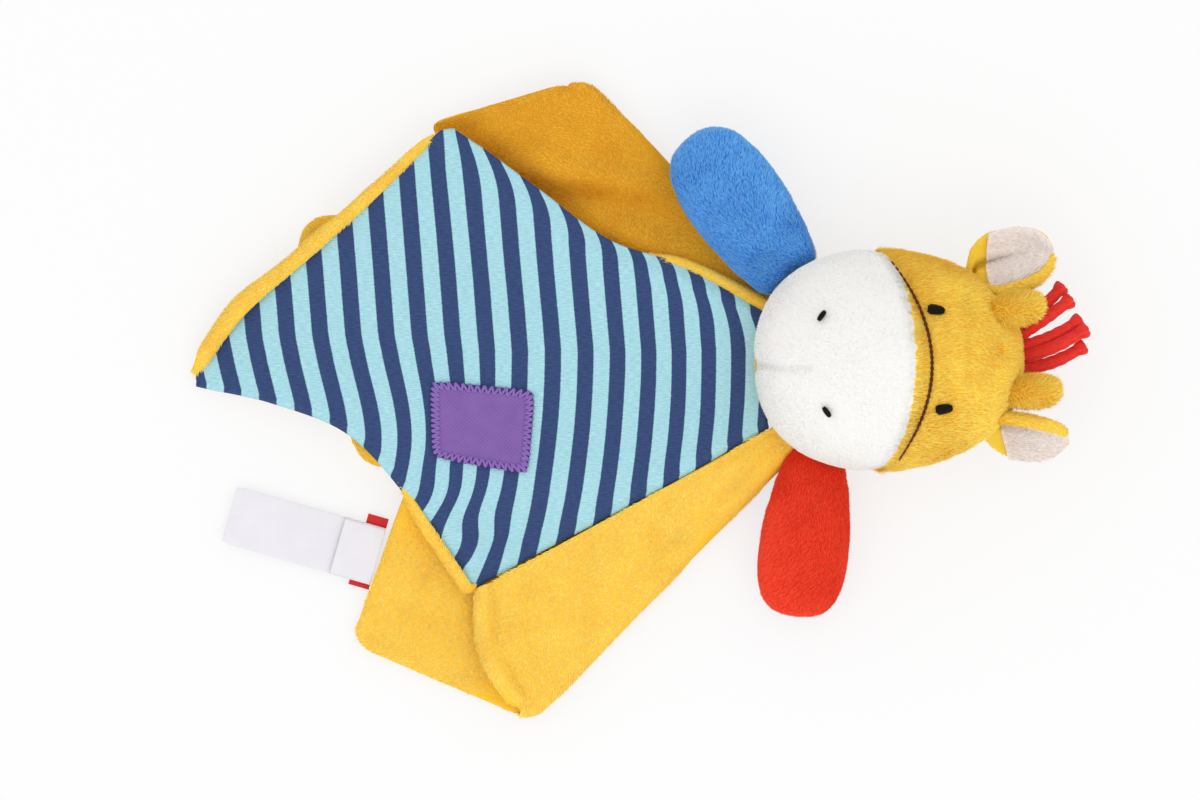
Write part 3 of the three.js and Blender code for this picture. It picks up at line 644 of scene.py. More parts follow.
jersey_bm = laid_cloth(front_place, 150, 90)
weave = jersey_bm.loops.layers.uv.new("weave")
for face in jersey_bm.faces:
    for loop in face.loops:
        spot = (loop.vert.co - NECK) / MM
        loop[weave].uv = (stripe_at(spot.x, spot.y), spot.y / STRIPE)
JERSEY, tree, shader = look("striped jersey", {"Roughness": 0.8, "Specular IOR Level": 0.25,
                                               "Sheen Weight": 0.15, "Sheen Roughness": 0.4})
uv = node(tree, "ShaderNodeUVMap", uv_map="weave")
across = node(tree, "ShaderNodeSeparateXYZ", {0: uv}).outputs["X"]
ragged = mottled(tree, scale=16, detail=2, place=uv)
shifted = worked_out(tree, "MULTIPLY_ADD", ragged, 0.03, across)
cycle = worked_out(tree, "PINGPONG", shifted, 0.5)
band = node(tree, "ShaderNodeMapRange", {0: cycle, 1: 0.235, 2: 0.265})
courses = node(tree, "ShaderNodeMapping", {"Vector": uv, "Scale": (0.6, 3, 1)})
heather = mottled(tree, scale=9, detail=5, place=courses)
navy = dyed(tree, heather, srgb(22, 40, 86), srgb(68, 94, 142))
cyan = dyed(tree, heather, srgb(118, 184, 202), srgb(206, 248, 253))
feed(shader, "Base Color", dyed(tree, band, navy, cyan))
rows = thread_rows(tree, uv, "Y", {"Scale": 6, "Distortion": 1.5, "Detail": 1, "Detail Scale": 4})
wales = thread_rows(tree, uv, "X", {"Scale": 6, "Distortion": 1})
knit = node(tree, "ShaderNodeMix", {0: 0.4, 2: rows, 3: wales})
relief(shader, knit, strength=0.4, distance=0.0004)
jersey = thick(shown("striped_front", jersey_bm, JERSEY), JERSEY_FABRIC, gap=0.8)

ROLL_SHARE = 0.25
LOW_ROLL_SHARE = 0.88
FLAT_ROLL = 0.4


def roll_radius(u):
    """The rolled edge is plump from the free corner to the top corner, and again beside the neck."""
    rope = (0.6 + 1.75 * smooth((u - 0.5) * 2.7)) * smooth((u - 0.5) * 14)
    rope *= 1 - 0.6 * smooth((u - 0.965) * 28)
    return max(FLAT_ROLL, rope * (1 + 0.3 * noise.noise(Vector((u * 14, 0, 3)))), 1.6 - 6 * u)


def low_roll(u):
    """How far the lining rolls over the front's lower edge: only between its lower and its free corner."""
    return smooth((u - 0.48) * 16) * (1 - smooth((u - 0.66) * 14))


def on_roll(edge, outward, radius, degrees, out, foot):
    """A point at an angle round a rolled edge that stands on this height."""
    angle = math.radians(degrees)
    spot = edge + outward * (radius * (math.cos(angle) + out))
    return spot.x, spot.y, foot + radius * (1 + math.sin(angle))


def front_lining_place(u, v):
    """Round the rolled upper edge, under the front and round its lower edge. Where the upper edge isn't
    rolled, it is tucked in."""
    outward = outward_of(FRONT_HIGH, u, 1)
    radius = roll_radius(u)
    tucked = 3.5 * (1 - smooth((radius - FLAT_ROLL) / 0.6))
    drop = 0.6 * tucked + 2.2 * (1 - smooth((u - 0.3) * 8))
    edge = FRONT_HIGH(u)
    foot = front_height(edge.x, edge.y) - UNDER_FRONT - drop
    edge = edge - outward * tucked
    if v < ROLL_SHARE:
        return on_roll(edge, outward, radius, mix(150, -90, v / ROLL_SHARE), 0.7, foot)
    outward = outward_of(FRONT_LOW, u, -1)
    radius = 0.3 + 1.1 * low_roll(u) * (1 + 0.3 * noise.noise(Vector((u * 60, 0, 6))))
    low = FRONT_LOW(u) + outward * (0.7 * radius - 1.2 * (1 - low_roll(u)))
    if v > LOW_ROLL_SHARE:
        degrees = mix(-90, 150, (v - LOW_ROLL_SHARE) / (1 - LOW_ROLL_SHARE))
        return on_roll(low, outward, radius, degrees, 0, front_height(low.x, low.y) - UNDER_FRONT)
    share = (v - ROLL_SHARE) / (LOW_ROLL_SHARE - ROLL_SHARE)
    spot = edge.lerp(low, share)
    return spot.x, spot.y, front_height(spot.x, spot.y) - UNDER_FRONT - drop * (1 - smooth(share * 6))


def front_lining_pile(u, v):
    """Pile stands on the rolled edges only."""
    roll = (1 - smooth((v - ROLL_SHARE * 0.85) * 30)) * smooth((roll_radius(u) - FLAT_ROLL) * 2)
    return max(roll, smooth((v - LOW_ROLL_SHARE) * 30) * low_roll(u))


front_lining = laid_cloth(front_lining_place, 150, 72, (0.3, -0.1), front_lining_pile, True)
front_lining = thick(shown("front_lining_fabric", front_lining, YELLOW), LINING_FABRIC, gap=0)
front_pile = grow("front_lining_pile", front_lining, LINING_FABRIC, density=5.5, length=1.3, width=0.16,
                  lean=2.2, stray=0.5)
bend_start, bend_end = (NECK + Vector((x, 15, 13.8)) * MM for x in (FOLD_X + 5.5, FOLD_X - 8))
for piece, slot, nodes in ((jersey, "striped_jersey", ("front_panel", "front_tip")),
                           (front_lining, "yellow_plush", ("front_lining", "front_tip_lining")),
                           (front_pile, "yellow_plush", ())):
    bent(piece, "blanket", "front_corner", bend_start, bend_end, slot, *nodes)


# Patch: a small woven square sewn on the striped front, bare, with a zigzag overstitch round its edge.
# It is a slab of satin with rounded corners, and each stitch is a thread laid over the edge.
PATCH_CORNERS = [Vector(corner) for corner in (
    (-113.6, -3.7), (-78.2, -7.1), (-80.6, -35.4), (-112.9, -29.6))]
PATCH_LIFT = 1.85
STITCH_LIFT = 2.45
PATCH_STITCHES = 54
UPWARDS = Vector((0, 0, 1))


def patch_place(a, b, height):
    """A point of the patch, from -1 to 1 along and across it, at a height over the jersey."""
    along = (a * (1 - 0.05 * abs(b) ** 6) + 1) / 2
    down = (b * (1 - 0.05 * abs(a) ** 6) + 1) / 2
    top = PATCH_CORNERS[0].lerp(PATCH_CORNERS[1], along)
    spot = top.lerp(PATCH_CORNERS[3].lerp(PATCH_CORNERS[2], along), down)
    return Vector((spot.x, spot.y, front_height(spot.x, spot.y) + front_swell(spot.x, spot.y) + height))


def tube(bm, path, radius, sides, steps):
    """A thread or cord along path(share), in millimetres, with radius(share, angle)."""
    first = len(bm.verts)
    made = bmesh.ops.create_cone(bm, cap_ends=True, segments=sides, radius1=1, radius2=1, depth=1)
    rails = {edge for vert in made["verts"] for edge in vert.link_edges
             if abs(edge.verts[0].co.z - edge.verts[1].co.z) > 0.5}
    bmesh.ops.subdivide_edges(bm, edges=list(rails), cuts=steps - 1)
    bm.verts.ensure_lookup_table()
    for vert in bm.verts[first:]:
        share = vert.co.z + 0.5
        angle = math.atan2(vert.co.y, vert.co.x)
        tangent = (path(share + NEARBY) - path(share - NEARBY)).normalized()
        across = tangent.cross(UPWARDS).normalized()
        over = across.cross(tangent)
        reach = radius(share, angle)
        vert.co = NECK + MM * (path(share) + reach * (math.cos(angle) * across + math.sin(angle) * over))


def weave_look(name, first, second, scale, roughness, slant=0.0):
    """A fine woven fabric whose threads run along and across the piece."""
    made, tree, shader = look(name, {"Roughness": roughness, "Specular IOR Level": 0.35,
                                     "Sheen Weight": 0.1})
    place = node(tree, "ShaderNodeTexCoord").outputs["Object"]
    turned = node(tree, "ShaderNodeMapping", {"Vector": place, "Rotation": (0, 0, slant)})
    warp, weft = (thread_rows(tree, turned, way, {"Scale": scale, "Distortion": 0.6}) for way in "XY")
    threads = worked_out(tree, "MULTIPLY", warp, weft)
    tone = node(tree, "ShaderNodeMix", {0: 0.6, 2: threads, 3: mottled(tree, scale=160, detail=3)})
    feed(shader, "Base Color", dyed(tree, tone, srgb(*first), srgb(*second)))
    relief(shader, threads, strength=0.35, distance=0.0002)
    return made


def flecked(name, settings, first, second, scale, detail, strength, distance):
    """Yarn or fibre in fine flecks of two tones, the second one standing up."""
    made, tree, shader = look(name, settings)
    flecks = mottled(tree, scale, detail)
    feed(shader, "Base Color", dyed(tree, flecks, srgb(*first), srgb(*second)))
    relief(shader, flecks, strength, distance)
    return made


def thread_look(name, first, second, shine=0.35):
    """Twisted sewing thread with a dull shine."""
    settings = {"Roughness": 0.55, "Specular IOR Level": shine}
    return flecked(name, settings, first, second, scale=1800, detail=2, strength=0.4, distance=0.0001)


PATCH_SATIN = weave_look("patch satin", (112, 74, 154), (144, 108, 182), 320, roughness=0.55, slant=0.7)
# The patch's border is a darker purple: painted shade of the patch cloth in the gaps under the overstitch.
PATCH_EDGE_SHADE = weave_look("patch edge in painted shade", (58, 26, 96), (84, 46, 128), 320, roughness=0.6, slant=0.7)
PATCH_THREAD = thread_look("patch thread", (112, 74, 160), (160, 126, 202))
patch_bm = laid_cloth(lambda u, v: patch_place(2 * u - 1, 2 * v - 1, PATCH_LIFT), 36, 28, flip=True)
# Faces beside the patch's edge take the second material, the darker border of painted shade.
for face in patch_bm.faces:
    face.material_index = int(any(len(vert.link_faces) < 4 for near in face.verts for vert in
                                  (edge.other_vert(near) for edge in near.link_edges)))
patch = shown("patch_fabric", patch_bm, PATCH_SATIN, PATCH_EDGE_SHADE)
thick(patch, 0.7, 0.1).modifiers.new("flat faces", "WEIGHTED_NORMAL")
fixed(patch, "blanket", "patch_fabric", "patch")


def round_patch(share):
    """A point on the patch's outline, once round for a share from 0 to 1."""
    side, t = divmod(share % 1 * 4, 1)
    t = 2 * t - 1
    return ((t, -1), (1, t), (-t, 1), (-1, -t))[int(side)]


stitch_bm = bmesh.new()
for stitch in range(2 * PATCH_STITCHES):
    outer = round_patch((stitch + stitch % 2) / (2 * PATCH_STITCHES))
    inner = round_patch((stitch + 1 - stitch % 2) / (2 * PATCH_STITCHES))

    def across_edge(share, outer=outer, inner=inner):
        a = mix(outer[0] * 1.01, inner[0] * 0.84, share)
        b = mix(outer[1] * 1.01, inner[1] * 0.81, share)
        return patch_place(a, b, STITCH_LIFT + 0.45 * math.sin(math.pi * min(max(share, 0), 1)))

    tube(stitch_bm, across_edge, lambda share, angle: 0.5, sides=6, steps=5)
patch_stitches = shown("patch_stitches", stitch_bm, PATCH_THREAD)
fixed(patch_stitches, "blanket", "patch_fabric", "patch_stitching")


# Tapes in the hem: a long and a short care label of white satin, bare, and a loop of red ribbon.
# They are sewn into the hem together, flap as one, and lie on the floor beside the cloth.
TAPE = 0.28
SEWN_IN = 1.3


def seat(joint):
    """Where a hinged piece sits: at its hinge, with its length along X."""
    axis = joints[joint]["axis"]
    turn = math.atan2(axis[0], -axis[1])
    return Matrix.Translation(joints[joint]["pos_m"]) @ Matrix.Rotation(turn, 4, "Z")


def seated(bm, matrix):
    """Moves a piece made in millimetres round its own origin to its seat, nap and all."""
    nap = bm.verts.layers.float_vector.get("nap")
    for vert in bm.verts:
        vert.co = matrix @ (vert.co * MM)
        if nap:
            vert[nap] = matrix.to_3x3() @ vert[nap]
    return bm


def own_cloth(place, columns, rows, nap=(0.0, 1.0), pile=None, flip=False):
    """Cloth laid out in millimetres round its own origin."""
    bm = laid_cloth(place, columns, rows, nap, pile, flip)
    for vert in bm.verts:
        vert.co = (vert.co - NECK) / MM
    return bm


def tape_place(length, width, depth, corner, curl):
    """A flat tape from the hem outwards, sewn in a little below the ribbon's middle."""
    def place(u, v):
        x = mix(SEWN_IN, length, u)
        rounded = 1 - corner * smooth((u - 0.93) * 14) ** 2
        wave = 0.25 * math.sin(x / 6) * u + curl * smooth(u * 1.5 - 0.5)
        return x, 1.4 + (v - 0.5) * width * rounded, -depth - 0.0002 * x * x + wave
    return place


def loop_place(length, width, depth):
    """A tape folded back on itself, both ends in the hem."""
    def place(u, v):
        bend = 0.45
        reach = length - bend
        along = mix(-1, 1, u)
        x = SEWN_IN + (reach - SEWN_IN) * min(1, (1 - abs(along)) * 1.15)
        turn = max(-1, min(1, along / 0.13)) * math.pi / 2
        return x + bend * math.cos(turn), 0.6 + (v - 0.5) * width, -depth + bend * math.sin(turn)
    return place


LABEL_SATIN = weave_look("label satin", (228, 225, 233), (242, 240, 246), 420, roughness=0.4)
RIBBON_WEAVE = weave_look("red ribbon weave", (206, 20, 26), (230, 42, 46), 380, roughness=0.6)
for name, tape, slot, place, flat in (
        ("ribbon_loop", RIBBON_WEAVE, "red_ribbon", loop_place(8.5, 25, 2.4), (25, 17)),
        ("care_label_long", LABEL_SATIN, "label_satin", tape_place(54, 20, 1.6, 0.06, 0.7), (20, 54)),
        ("care_label_short", LABEL_SATIN, "label_satin", tape_place(15.6, 20, 0.8, 0.0, 0.3), (20, 15.6))):
    made = shown(name + "_tape", seated(own_cloth(place, 40, 16), seat("label_flap")), tape)
    thick(made, TAPE, 0).modifiers.new("flat faces", "WEIGHTED_NORMAL")
    fixed(made, "labels", slot, name)


# Arms: two flat stuffed paddles of plush, blue and red, each a front and a back panel round a filling.
# They are sewn into the neck beside the head, and drawn in at the shoulder so that they can lift.
HEAD_MIDDLE = Vector((41.9, 3.4, 30.5))
HEAD_SIZE = (91, 75.5, 62)
HEAD_FULLNESS = 0.8
HEAD_TAPER = 0.08
SHOULDER_REACH = 26
SHOULDER_FULLNESS = 0.45
ARM_POSES = ((0, 0), (18, 0), (35, 0), (0, 45), (35, 45))
VOXEL = 2
SWELL_FRAMES = 20
SMOOTHINGS = 8
COVER_FABRIC = 1.2
SEAM_HALF = 1.2
DRAW_STEPS = 50
DRAW_BACK = 0.4


def fullness(along, power, taper):
    """How wide a stuffed form is at a place along it, from -1 to 1."""
    return math.sqrt(max(1e-9, 1 - along * along)) ** power * (1 - taper * along)


def stuffed_form(size, power, taper, around, rings, grow=0.0, sewn=None):
    """A closed stuffed form in millimetres round its own middle, with its length along X. Below 0 it may
    have another power, for an end that is sewn in broad."""
    bm = bmesh.new()
    bmesh.ops.create_uvsphere(bm, u_segments=around, v_segments=rings, radius=1,
                              matrix=Matrix.Rotation(math.pi / 2, 4, "Y"))
    bm.faces.sort(key=lambda face: face.calc_center_median().dot(Vector((1, 0.618, 0.3))))
    half = [side / 2 + grow for side in size]
    for vert in bm.verts:
        along = min(max(vert.co.x, -1), 1)
        ring = math.hypot(vert.co.y, vert.co.z)
        wide = fullness(along, sewn if sewn and along < 0 else power, taper) / ring if ring > 1e-4 else 0
        vert.co = (half[0] * along, half[1] * wide * vert.co.y, half[2] * wide * vert.co.z)
    return bm


def in_head(point, grow):
    """Whether a point, in millimetres from the head's middle, is inside the head grown by so much."""
    along = point.x / (HEAD_SIZE[0] / 2 + grow)
    if abs(along) >= 1:
        return False
    full = fullness(along, HEAD_FULLNESS, HEAD_TAPER)
    return math.hypot(point.y / (HEAD_SIZE[1] / 2 + grow), point.z / (HEAD_SIZE[2] / 2 + grow)) < full


def clear_of_head(bm, place, middle, margin):
    """Draws an arm's shoulder back along the arm until it clears the head, at rest, lifted and nodded."""
    for vert in bm.verts:
        if vert.co.x + middle.x > SHOULDER_REACH:
            continue
        for lift, nod in ARM_POSES:
            raised = place @ Matrix.Rotation(math.radians(-lift), 4, "Y")
            nodded = Matrix.Rotation(math.radians(nod), 3, "Y")
            for step in range(DRAW_STEPS):
                spot = (raised @ ((vert.co + middle) * MM) - NECK) / MM
                if not in_head(nodded @ (spot - HEAD_HINGE) + HEAD_HINGE - HEAD_MIDDLE, margin):
                    break
                vert.co.x += DRAW_BACK


def puffed(form, name, held, pressure, most):
    """Swells a form, in millimetres, as filling swells a cover: Cloth under pressure, held at its seams.
    No point moves further than most."""
    body = shown(name + "_puff", form)
    even = body.modifiers.new("even grid", "REMESH")
    even.mode = "VOXEL"
    even.voxel_size = VOXEL
    mesh = bpy.data.meshes.new_from_object(finished(body))
    body.modifiers.clear()
    body.data = mesh
    seam = body.vertex_groups.new(name="seam")
    seam.add([vert.index for vert in mesh.vertices if held(vert.co)], 1, "REPLACE")
    cloth = body.modifiers.new("cover", "CLOTH").settings
    cloth.use_pressure = True
    cloth.uniform_pressure_force = pressure
    cloth.vertex_group_mass = "seam"
    cloth.effector_weights.gravity = 0
    for number in range(1, SWELL_FRAMES + 1):
        scene.frame_set(number)
    swollen = finished(body).data
    moves = [after.co - before.co for before, after in zip(mesh.vertices, swollen.vertices)]
    body.modifiers.clear()
    scene.frame_set(1)
    for vert, move in zip(mesh.vertices, moves):
        vert.co += move * min(1, most / max(move.length, 1e-6))
    finer = body.modifiers.new("finer grid", "SUBSURF")
    finer.levels = 1
    finer.render_levels = 1
    made = bmesh.new()
    made.from_object(body, bpy.context.evaluated_depsgraph_get())
    for step in range(SMOOTHINGS):
        bmesh.ops.smooth_vert(made, verts=made.verts[:], factor=0.5, use_axis_x=True, use_axis_y=True,
                              use_axis_z=True)
    bpy.data.objects.remove(body)
    return made


def groove(bm, distance, depth, width):
    """Draws the surface in along a seam, where distance(point) is small."""
    bm.normal_update()
    for vert in bm.verts:
        vert.co -= vert.normal * depth * math.exp(-(distance(vert.co) / width) ** 2)


def panel(bm, *planes):
    """The piece of a form on the positive side of these planes, as a copy."""
    made = bm.copy()
    for point, normal in planes:
        bmesh.ops.bisect_plane(made, geom=made.verts[:] + made.edges[:] + made.faces[:], dist=1e-5,
                               plane_co=point, plane_no=normal, clear_inner=True)
    return made


def brushed(bm, way, stands=None):
    """Stores the nap way(point), laid along the surface and falling to the back at the ends, and the
    share of pile stands(point) on a form."""
    nap = bm.verts.layers.float_vector.new("nap")
    pile = bm.verts.layers.float.new("pile")
    bm.normal_update()
    for vert in bm.verts:
        brush = uneven(Vector(way(vert.co)), vert.co)
        steep = brush.dot(vert.normal)
        vert[nap] = brush - vert.normal * steep + Vector((0, 0, -0.8)) * max(0, steep)
        vert[pile] = stands(vert.co) if stands else 1.0


def sewn_cover(name, bm, fabric, body, slot, node_name):
    """A panel of a cover, with its fabric's thickness inwards, put on its body."""
    cover = shown(name, bm, fabric)
    wall = cover.modifiers.new("thickness", "SOLIDIFY")
    wall.thickness = COVER_FABRIC * MM
    wall.offset = -1
    fixed(cover, body, slot, node_name)
    return cover


FILLING = flecked("fibre filling", {"Roughness": 0.95, "Sheen Weight": 0.3},
                  (222, 220, 212), (250, 248, 242), scale=300, detail=4, strength=0.8, distance=0.001)


def stuffed(part, form, place, body):
    """The fibre inside a cover."""
    fixed(shown(part + "_stuffing", seated(form, place), FILLING), body, "filling", part + "_filling")


BLUE = plush("blue plush", (78, 170, 240), (42, 122, 212), (160, 218, 255), sheen=1.0)
RED = plush("red plush", (250, 66, 36), (232, 40, 18), (255, 112, 78), sheen=0.4)
for arm, fabric, size, power, taper in (("blue_arm", BLUE, (67.5, 36, 20), 0.66, -0.15),
                                        ("red_arm", RED, (63, 32.5, 22), 0.58, -0.2)):
    place = seat(arm + "_lift")
    middle = Vector((size[0] / 2 - 8, 0, -4.5))
    seating = place @ Matrix.Translation(middle * MM)
    form = stuffed_form(size, power, taper, 64, 48, grow=-1.5, sewn=SHOULDER_FULLNESS)
    clear_of_head(form, place, middle, margin=0.8)
    form = puffed(form, arm, lambda point: abs(point.z) < SEAM_HALF, pressure=0.6, most=1.3)
    clear_of_head(form, place, middle, margin=1.0)
    groove(form, lambda point: point.z, depth=0.5, width=1.4)

    def arm_stands(point):
        """No pile on the floor and none on the sewn end."""
        height = point.z + middle.z + place.translation.z / MM
        return smooth(height / 2) * smooth((point.x + size[0] / 2 - 4) / 5)

    brushed(form, lambda point: (1, 0, 0), arm_stands)
    slot = arm[:-4] + "_plush"
    for part, normal in (("front", (0, 0, 1)), ("back", (0, 0, -1))):
        half = seated(panel(form, ((0, 0, 0), normal)), seating)
        cover = sewn_cover(f"{arm}_{part}_cover", half, fabric, arm, slot, f"{arm}_{part}")
        fixed(grow(f"{arm}_{part}_pile", cover, lift=0), arm, slot)
    inner = stuffed_form(size, power, taper, 40, 28, grow=-3, sewn=SHOULDER_FULLNESS)
    clear_of_head(inner, place, middle, margin=4)
    stuffed(arm, inner, seating, arm)


# Head: a stuffed head lying on its back, of a white muzzle panel, a yellow face panel and a yellow back.
# The muzzle seam leans over the face, and short darts draw the chin and the crown in. Its covers are swollen
# over a filling.
MUZZLE_LEAN = math.radians(27)
MUZZLE_SEAM = (Vector((-6, 0, 0)), Vector((math.cos(MUZZLE_LEAN), 0, -math.sin(MUZZLE_LEAN))))
CHEEK_HEIGHT = -4
CHEEK_SEAM = (Vector((0, 0, CHEEK_HEIGHT)), Vector((0, 0, 1)))
EYES = ((15.9, 17), (18.6, -16.7))
NOSTRILS = ((-22.9, 15), (-21.2, -17.7))
MUZZLE_PILE = {"density": 4.5, "length": 0.7, "width": 0.14, "lean": 2.6, "stray": 0.35}
FACE_PILE = {"density": 4.5, "length": 1.7, "width": 0.18, "lean": 2.0, "stray": 0.45}
OFF_DART = 20
OFF_FLOOR = 1.2


def head_top(x, y, grow):
    """The head's upper surface over a point of its plan, from the head's middle."""
    full = fullness(x / (HEAD_SIZE[0] / 2 + grow), HEAD_FULLNESS, HEAD_TAPER)
    side = y / (HEAD_SIZE[1] / 2 + grow)
    return (HEAD_SIZE[2] / 2 + grow) * math.sqrt(max(0, full * full - side * side))


def from_muzzle_seam(point):
    return (point - MUZZLE_SEAM[0]).dot(MUZZLE_SEAM[1])


def chin_dart(point):
    """How near a point of the head is to the dart sewn into the chin."""
    return abs(point.y + 2.4) + 8 * max(0, (point.x + 28) / 10) + (OFF_DART if point.z < 0 else 0)


CROWN_DART = Vector((38.7, 3.4))


def crown_dart(point):
    """How near a point of the head is to the short dart at the end of the forehead."""
    past_end = max(0, (CROWN_DART.x - point.x) / 10)
    return abs(point.y - CROWN_DART.y) + 8 * past_end + (OFF_DART if point.z < 0 else 0)


def head_nap(point):
    """Brushed from the chin to the crown, in waves, and outwards round the dart at the forehead's end."""
    from_dart = point.xy - CROWN_DART
    whorl = 0.45 * math.exp(-from_dart.length_squared / 30)
    waves = 0.2 * math.sin(point.x / 1.1 + 2 * noise.noise(point / 9)) * smooth((point.x - 14) / 6)
    brushed_back = Vector((1 + waves, -point.y / 80))
    way = brushed_back.lerp(from_dart.normalized() * 1.3, whorl)
    return way.x, way.y, 0.0


def face_stands(point):
    """The pile parts under the stitching, and stands up raggedly along the muzzle seam."""
    if point.z < 0:
        return 0.75
    bare = min(Vector((point.x - x, point.y - y)).length for x, y in EYES + NOSTRILS)
    ragged = max(0.0, 0.5 + 1.5 * noise.noise(point / 1.2))
    fringe = 3.5 * ragged * math.exp(-((from_muzzle_seam(point) + 1) / 1.5) ** 2)
    return smooth((bare - 1.6) / 1.2) * (1 + fringe)


def on_head_seam(point):
    """Whether the head's cover is sewn at a point, so that the filling can't swell it."""
    on_muzzle_seam = abs(from_muzzle_seam(point)) < SEAM_HALF and point.z > CHEEK_HEIGHT
    return on_muzzle_seam or abs(point.z - CHEEK_HEIGHT) < SEAM_HALF or chin_dart(point) < 1.5


head_form = stuffed_form(HEAD_SIZE, HEAD_FULLNESS, HEAD_TAPER, 112, 80, grow=-1.3)
head_form = puffed(head_form, "head", on_head_seam, pressure=0.6, most=1.2)
groove(head_form, from_muzzle_seam, depth=0.5, width=1.6)
groove(head_form, lambda point: point.z - CHEEK_HEIGHT, depth=0.5, width=1.5)
groove(head_form, chin_dart, depth=0.8, width=1.3)
groove(head_form, crown_dart, depth=0.25, width=0.7)
for vert in head_form.verts:
    vert.co.z = max(vert.co.z, -HEAD_MIDDLE.z + OFF_FLOOR + 0.02 * abs(vert.co.y))
brushed(head_form, head_nap, face_stands)
head_seat = Matrix.Translation(NECK + HEAD_MIDDLE * MM)
WHITE = plush("white plush", (253, 252, 250), (247, 246, 243), (255, 254, 252), sheen=0.1)
FACE_YELLOW = plush("face plush", (255, 229, 84), (248, 186, 34), (255, 240, 138), sheen=0.12)
for name, fabric, slot, pile, planes in (
        ("muzzle", WHITE, "white_plush", MUZZLE_PILE, (CHEEK_SEAM, (MUZZLE_SEAM[0], -MUZZLE_SEAM[1]))),
        ("face", FACE_YELLOW, "yellow_plush", FACE_PILE, (CHEEK_SEAM, MUZZLE_SEAM)),
        ("head_back", FACE_YELLOW, "yellow_plush", FACE_PILE, ((CHEEK_SEAM[0], -CHEEK_SEAM[1]),))):
    piece = seated(panel(head_form, *planes), head_seat)
    cover = sewn_cover(name + "_panel_cover", piece, fabric, "head", slot, name + "_panel")
    fixed(grow(name + "_pile", cover, lift=0, **pile), "head", slot)
stuffed("head", stuffed_form(HEAD_SIZE, HEAD_FULLNESS, HEAD_TAPER, 48, 32, grow=-3.2), head_seat, "head")


# Face stitching: eyes and nostrils in black satin stitch, and a brown line of back stitches for the mouth.
# Every stitch is a thread on the pile, pulled in at its ends.
BLACK_THREAD = thread_look("black thread", (8, 6, 4), (24, 17, 12), shine=0.15)
BROWN_THREAD = thread_look("brown thread", (70, 28, 6), (108, 52, 18), shine=0.15)
SATIN_PITCH = 0.42
MOUTH_STITCHES = 36


def on_head(x, y, height):
    """A point over the head's upper surface, in millimetres from the neck."""
    return HEAD_MIDDLE + Vector((x, y, head_top(x, y, height)))


def satin_stitch(part, spot, size, turn, blunt, taper):
    """An oval filled with threads laid side by side, more or less blunt and narrower at one end."""
    bm = bmesh.new()
    count = int(size[0] / SATIN_PITCH)
    along = Vector((math.cos(turn), math.sin(turn)))
    for k in range(count):
        s = ((k + 0.5) / count - 0.5) * size[0]
        end = 2 * s / size[0]
        half = size[1] / 2 * (1 - abs(end) ** blunt) ** 0.5 * (1 - taper * end) + 0.12

        def laid(share, s=s, half=half):
            t = mix(-half, half, share)
            x = spot[0] + along.x * s - along.y * t
            y = spot[1] + along.y * s + along.x * t
            return on_head(x, y, 0.4 + 1.15 * math.sqrt(max(0, 1 - (2 * share - 1) ** 4)))

        tube(bm, laid, lambda share, angle: 0.3, sides=6, steps=8)
    fixed(shown(part + "_stitches", bm, BLACK_THREAD), "head", "black_thread", part)


for side, sign, eye, nostril in (("right", 1, EYES[0], NOSTRILS[0]), ("left", -1, EYES[1], NOSTRILS[1])):
    satin_stitch(side + "_eye", eye, (5.8, 2.7), math.radians(-8 * sign), blunt=3.5, taper=0.22)
    satin_stitch(side + "_nostril", nostril, (4.0, 1.2), math.radians(54 * sign), blunt=2, taper=0)


def mouth_line(share, height):
    """The mouth's bow over the face, from the right cheek to the left."""
    y = mix(33.7, -34, share)
    return on_head(14.5 - 0.0109 * (y + 2) ** 2, y, height)


mouth_bm = bmesh.new()
for k in range(MOUTH_STITCHES):
    def stitch_path(share, k=k):
        rise = math.sqrt(max(0, 1 - (2 * share - 1) ** 4))
        length = mix(0.72, 0.96, smooth(k / 5))
        return mouth_line((k + 0.5 + length * (share - 0.5)) / MOUTH_STITCHES, 0.3 + 0.6 * rise)

    thin = 0.32 + 0.26 * smooth(min(k, MOUTH_STITCHES - 1 - k) / 7)

    def bead(share, angle, thin=thin):
        return thin * (0.6 + 0.5 * math.sin(math.pi * share))

    tube(mouth_bm, stitch_path, bead, sides=7, steps=7)
mouth = shown("mouth_stitches", mouth_bm, BROWN_THREAD)
fixed(mouth, "head", "brown_thread", "mouth_stitch")


# Ears: two cupped leaves of plush, yellow behind and pale pink-grey inside, sewn into the side of the head.
# The yellow back gathers round the base and rolls over the rim that faces the crown.
EAR_LENGTH = 25.5
EAR_ROLL = 0.78
EAR_FABRIC = 0.7
EAR_PILE = {"density": 4.5, "length": 1.7, "width": 0.18, "lean": 2.0, "stray": 0.5}
GROUND_TONE = 0.6
EAR_GREY = plush("ear lining plush", (255, 252, 249), (246, 231, 224), (255, 253, 251), sheen=0.15)


def ear_leaf(t):
    """The ear's half width along it, narrowed at the gathered base and rounded at the tip."""
    if t < 0.35:
        return mix(0.45, 1, smooth((t + 0.25) / 0.5))
    return math.sqrt(max(0.02, 1 - ((t - 0.35) / 0.66) ** 2.6))


def ear_place(t, a, half, lift, inner):
    """A point of the ear's cup: t along it, a across it, creased down its middle."""
    leaf = ear_leaf(t)
    crease = -5 * math.exp(-((a - 0.1) / 0.15) ** 2) * (1 - smooth(t * 1.35))
    cup = 4.5 * (a * a * leaf - 0.5) + 2 * t + crease + lift
    gathered = smooth(-t / 0.25)
    return Vector((EAR_LENGTH * t, half * leaf * a + inner * 6.5 * gathered, cup - 2 * gathered))


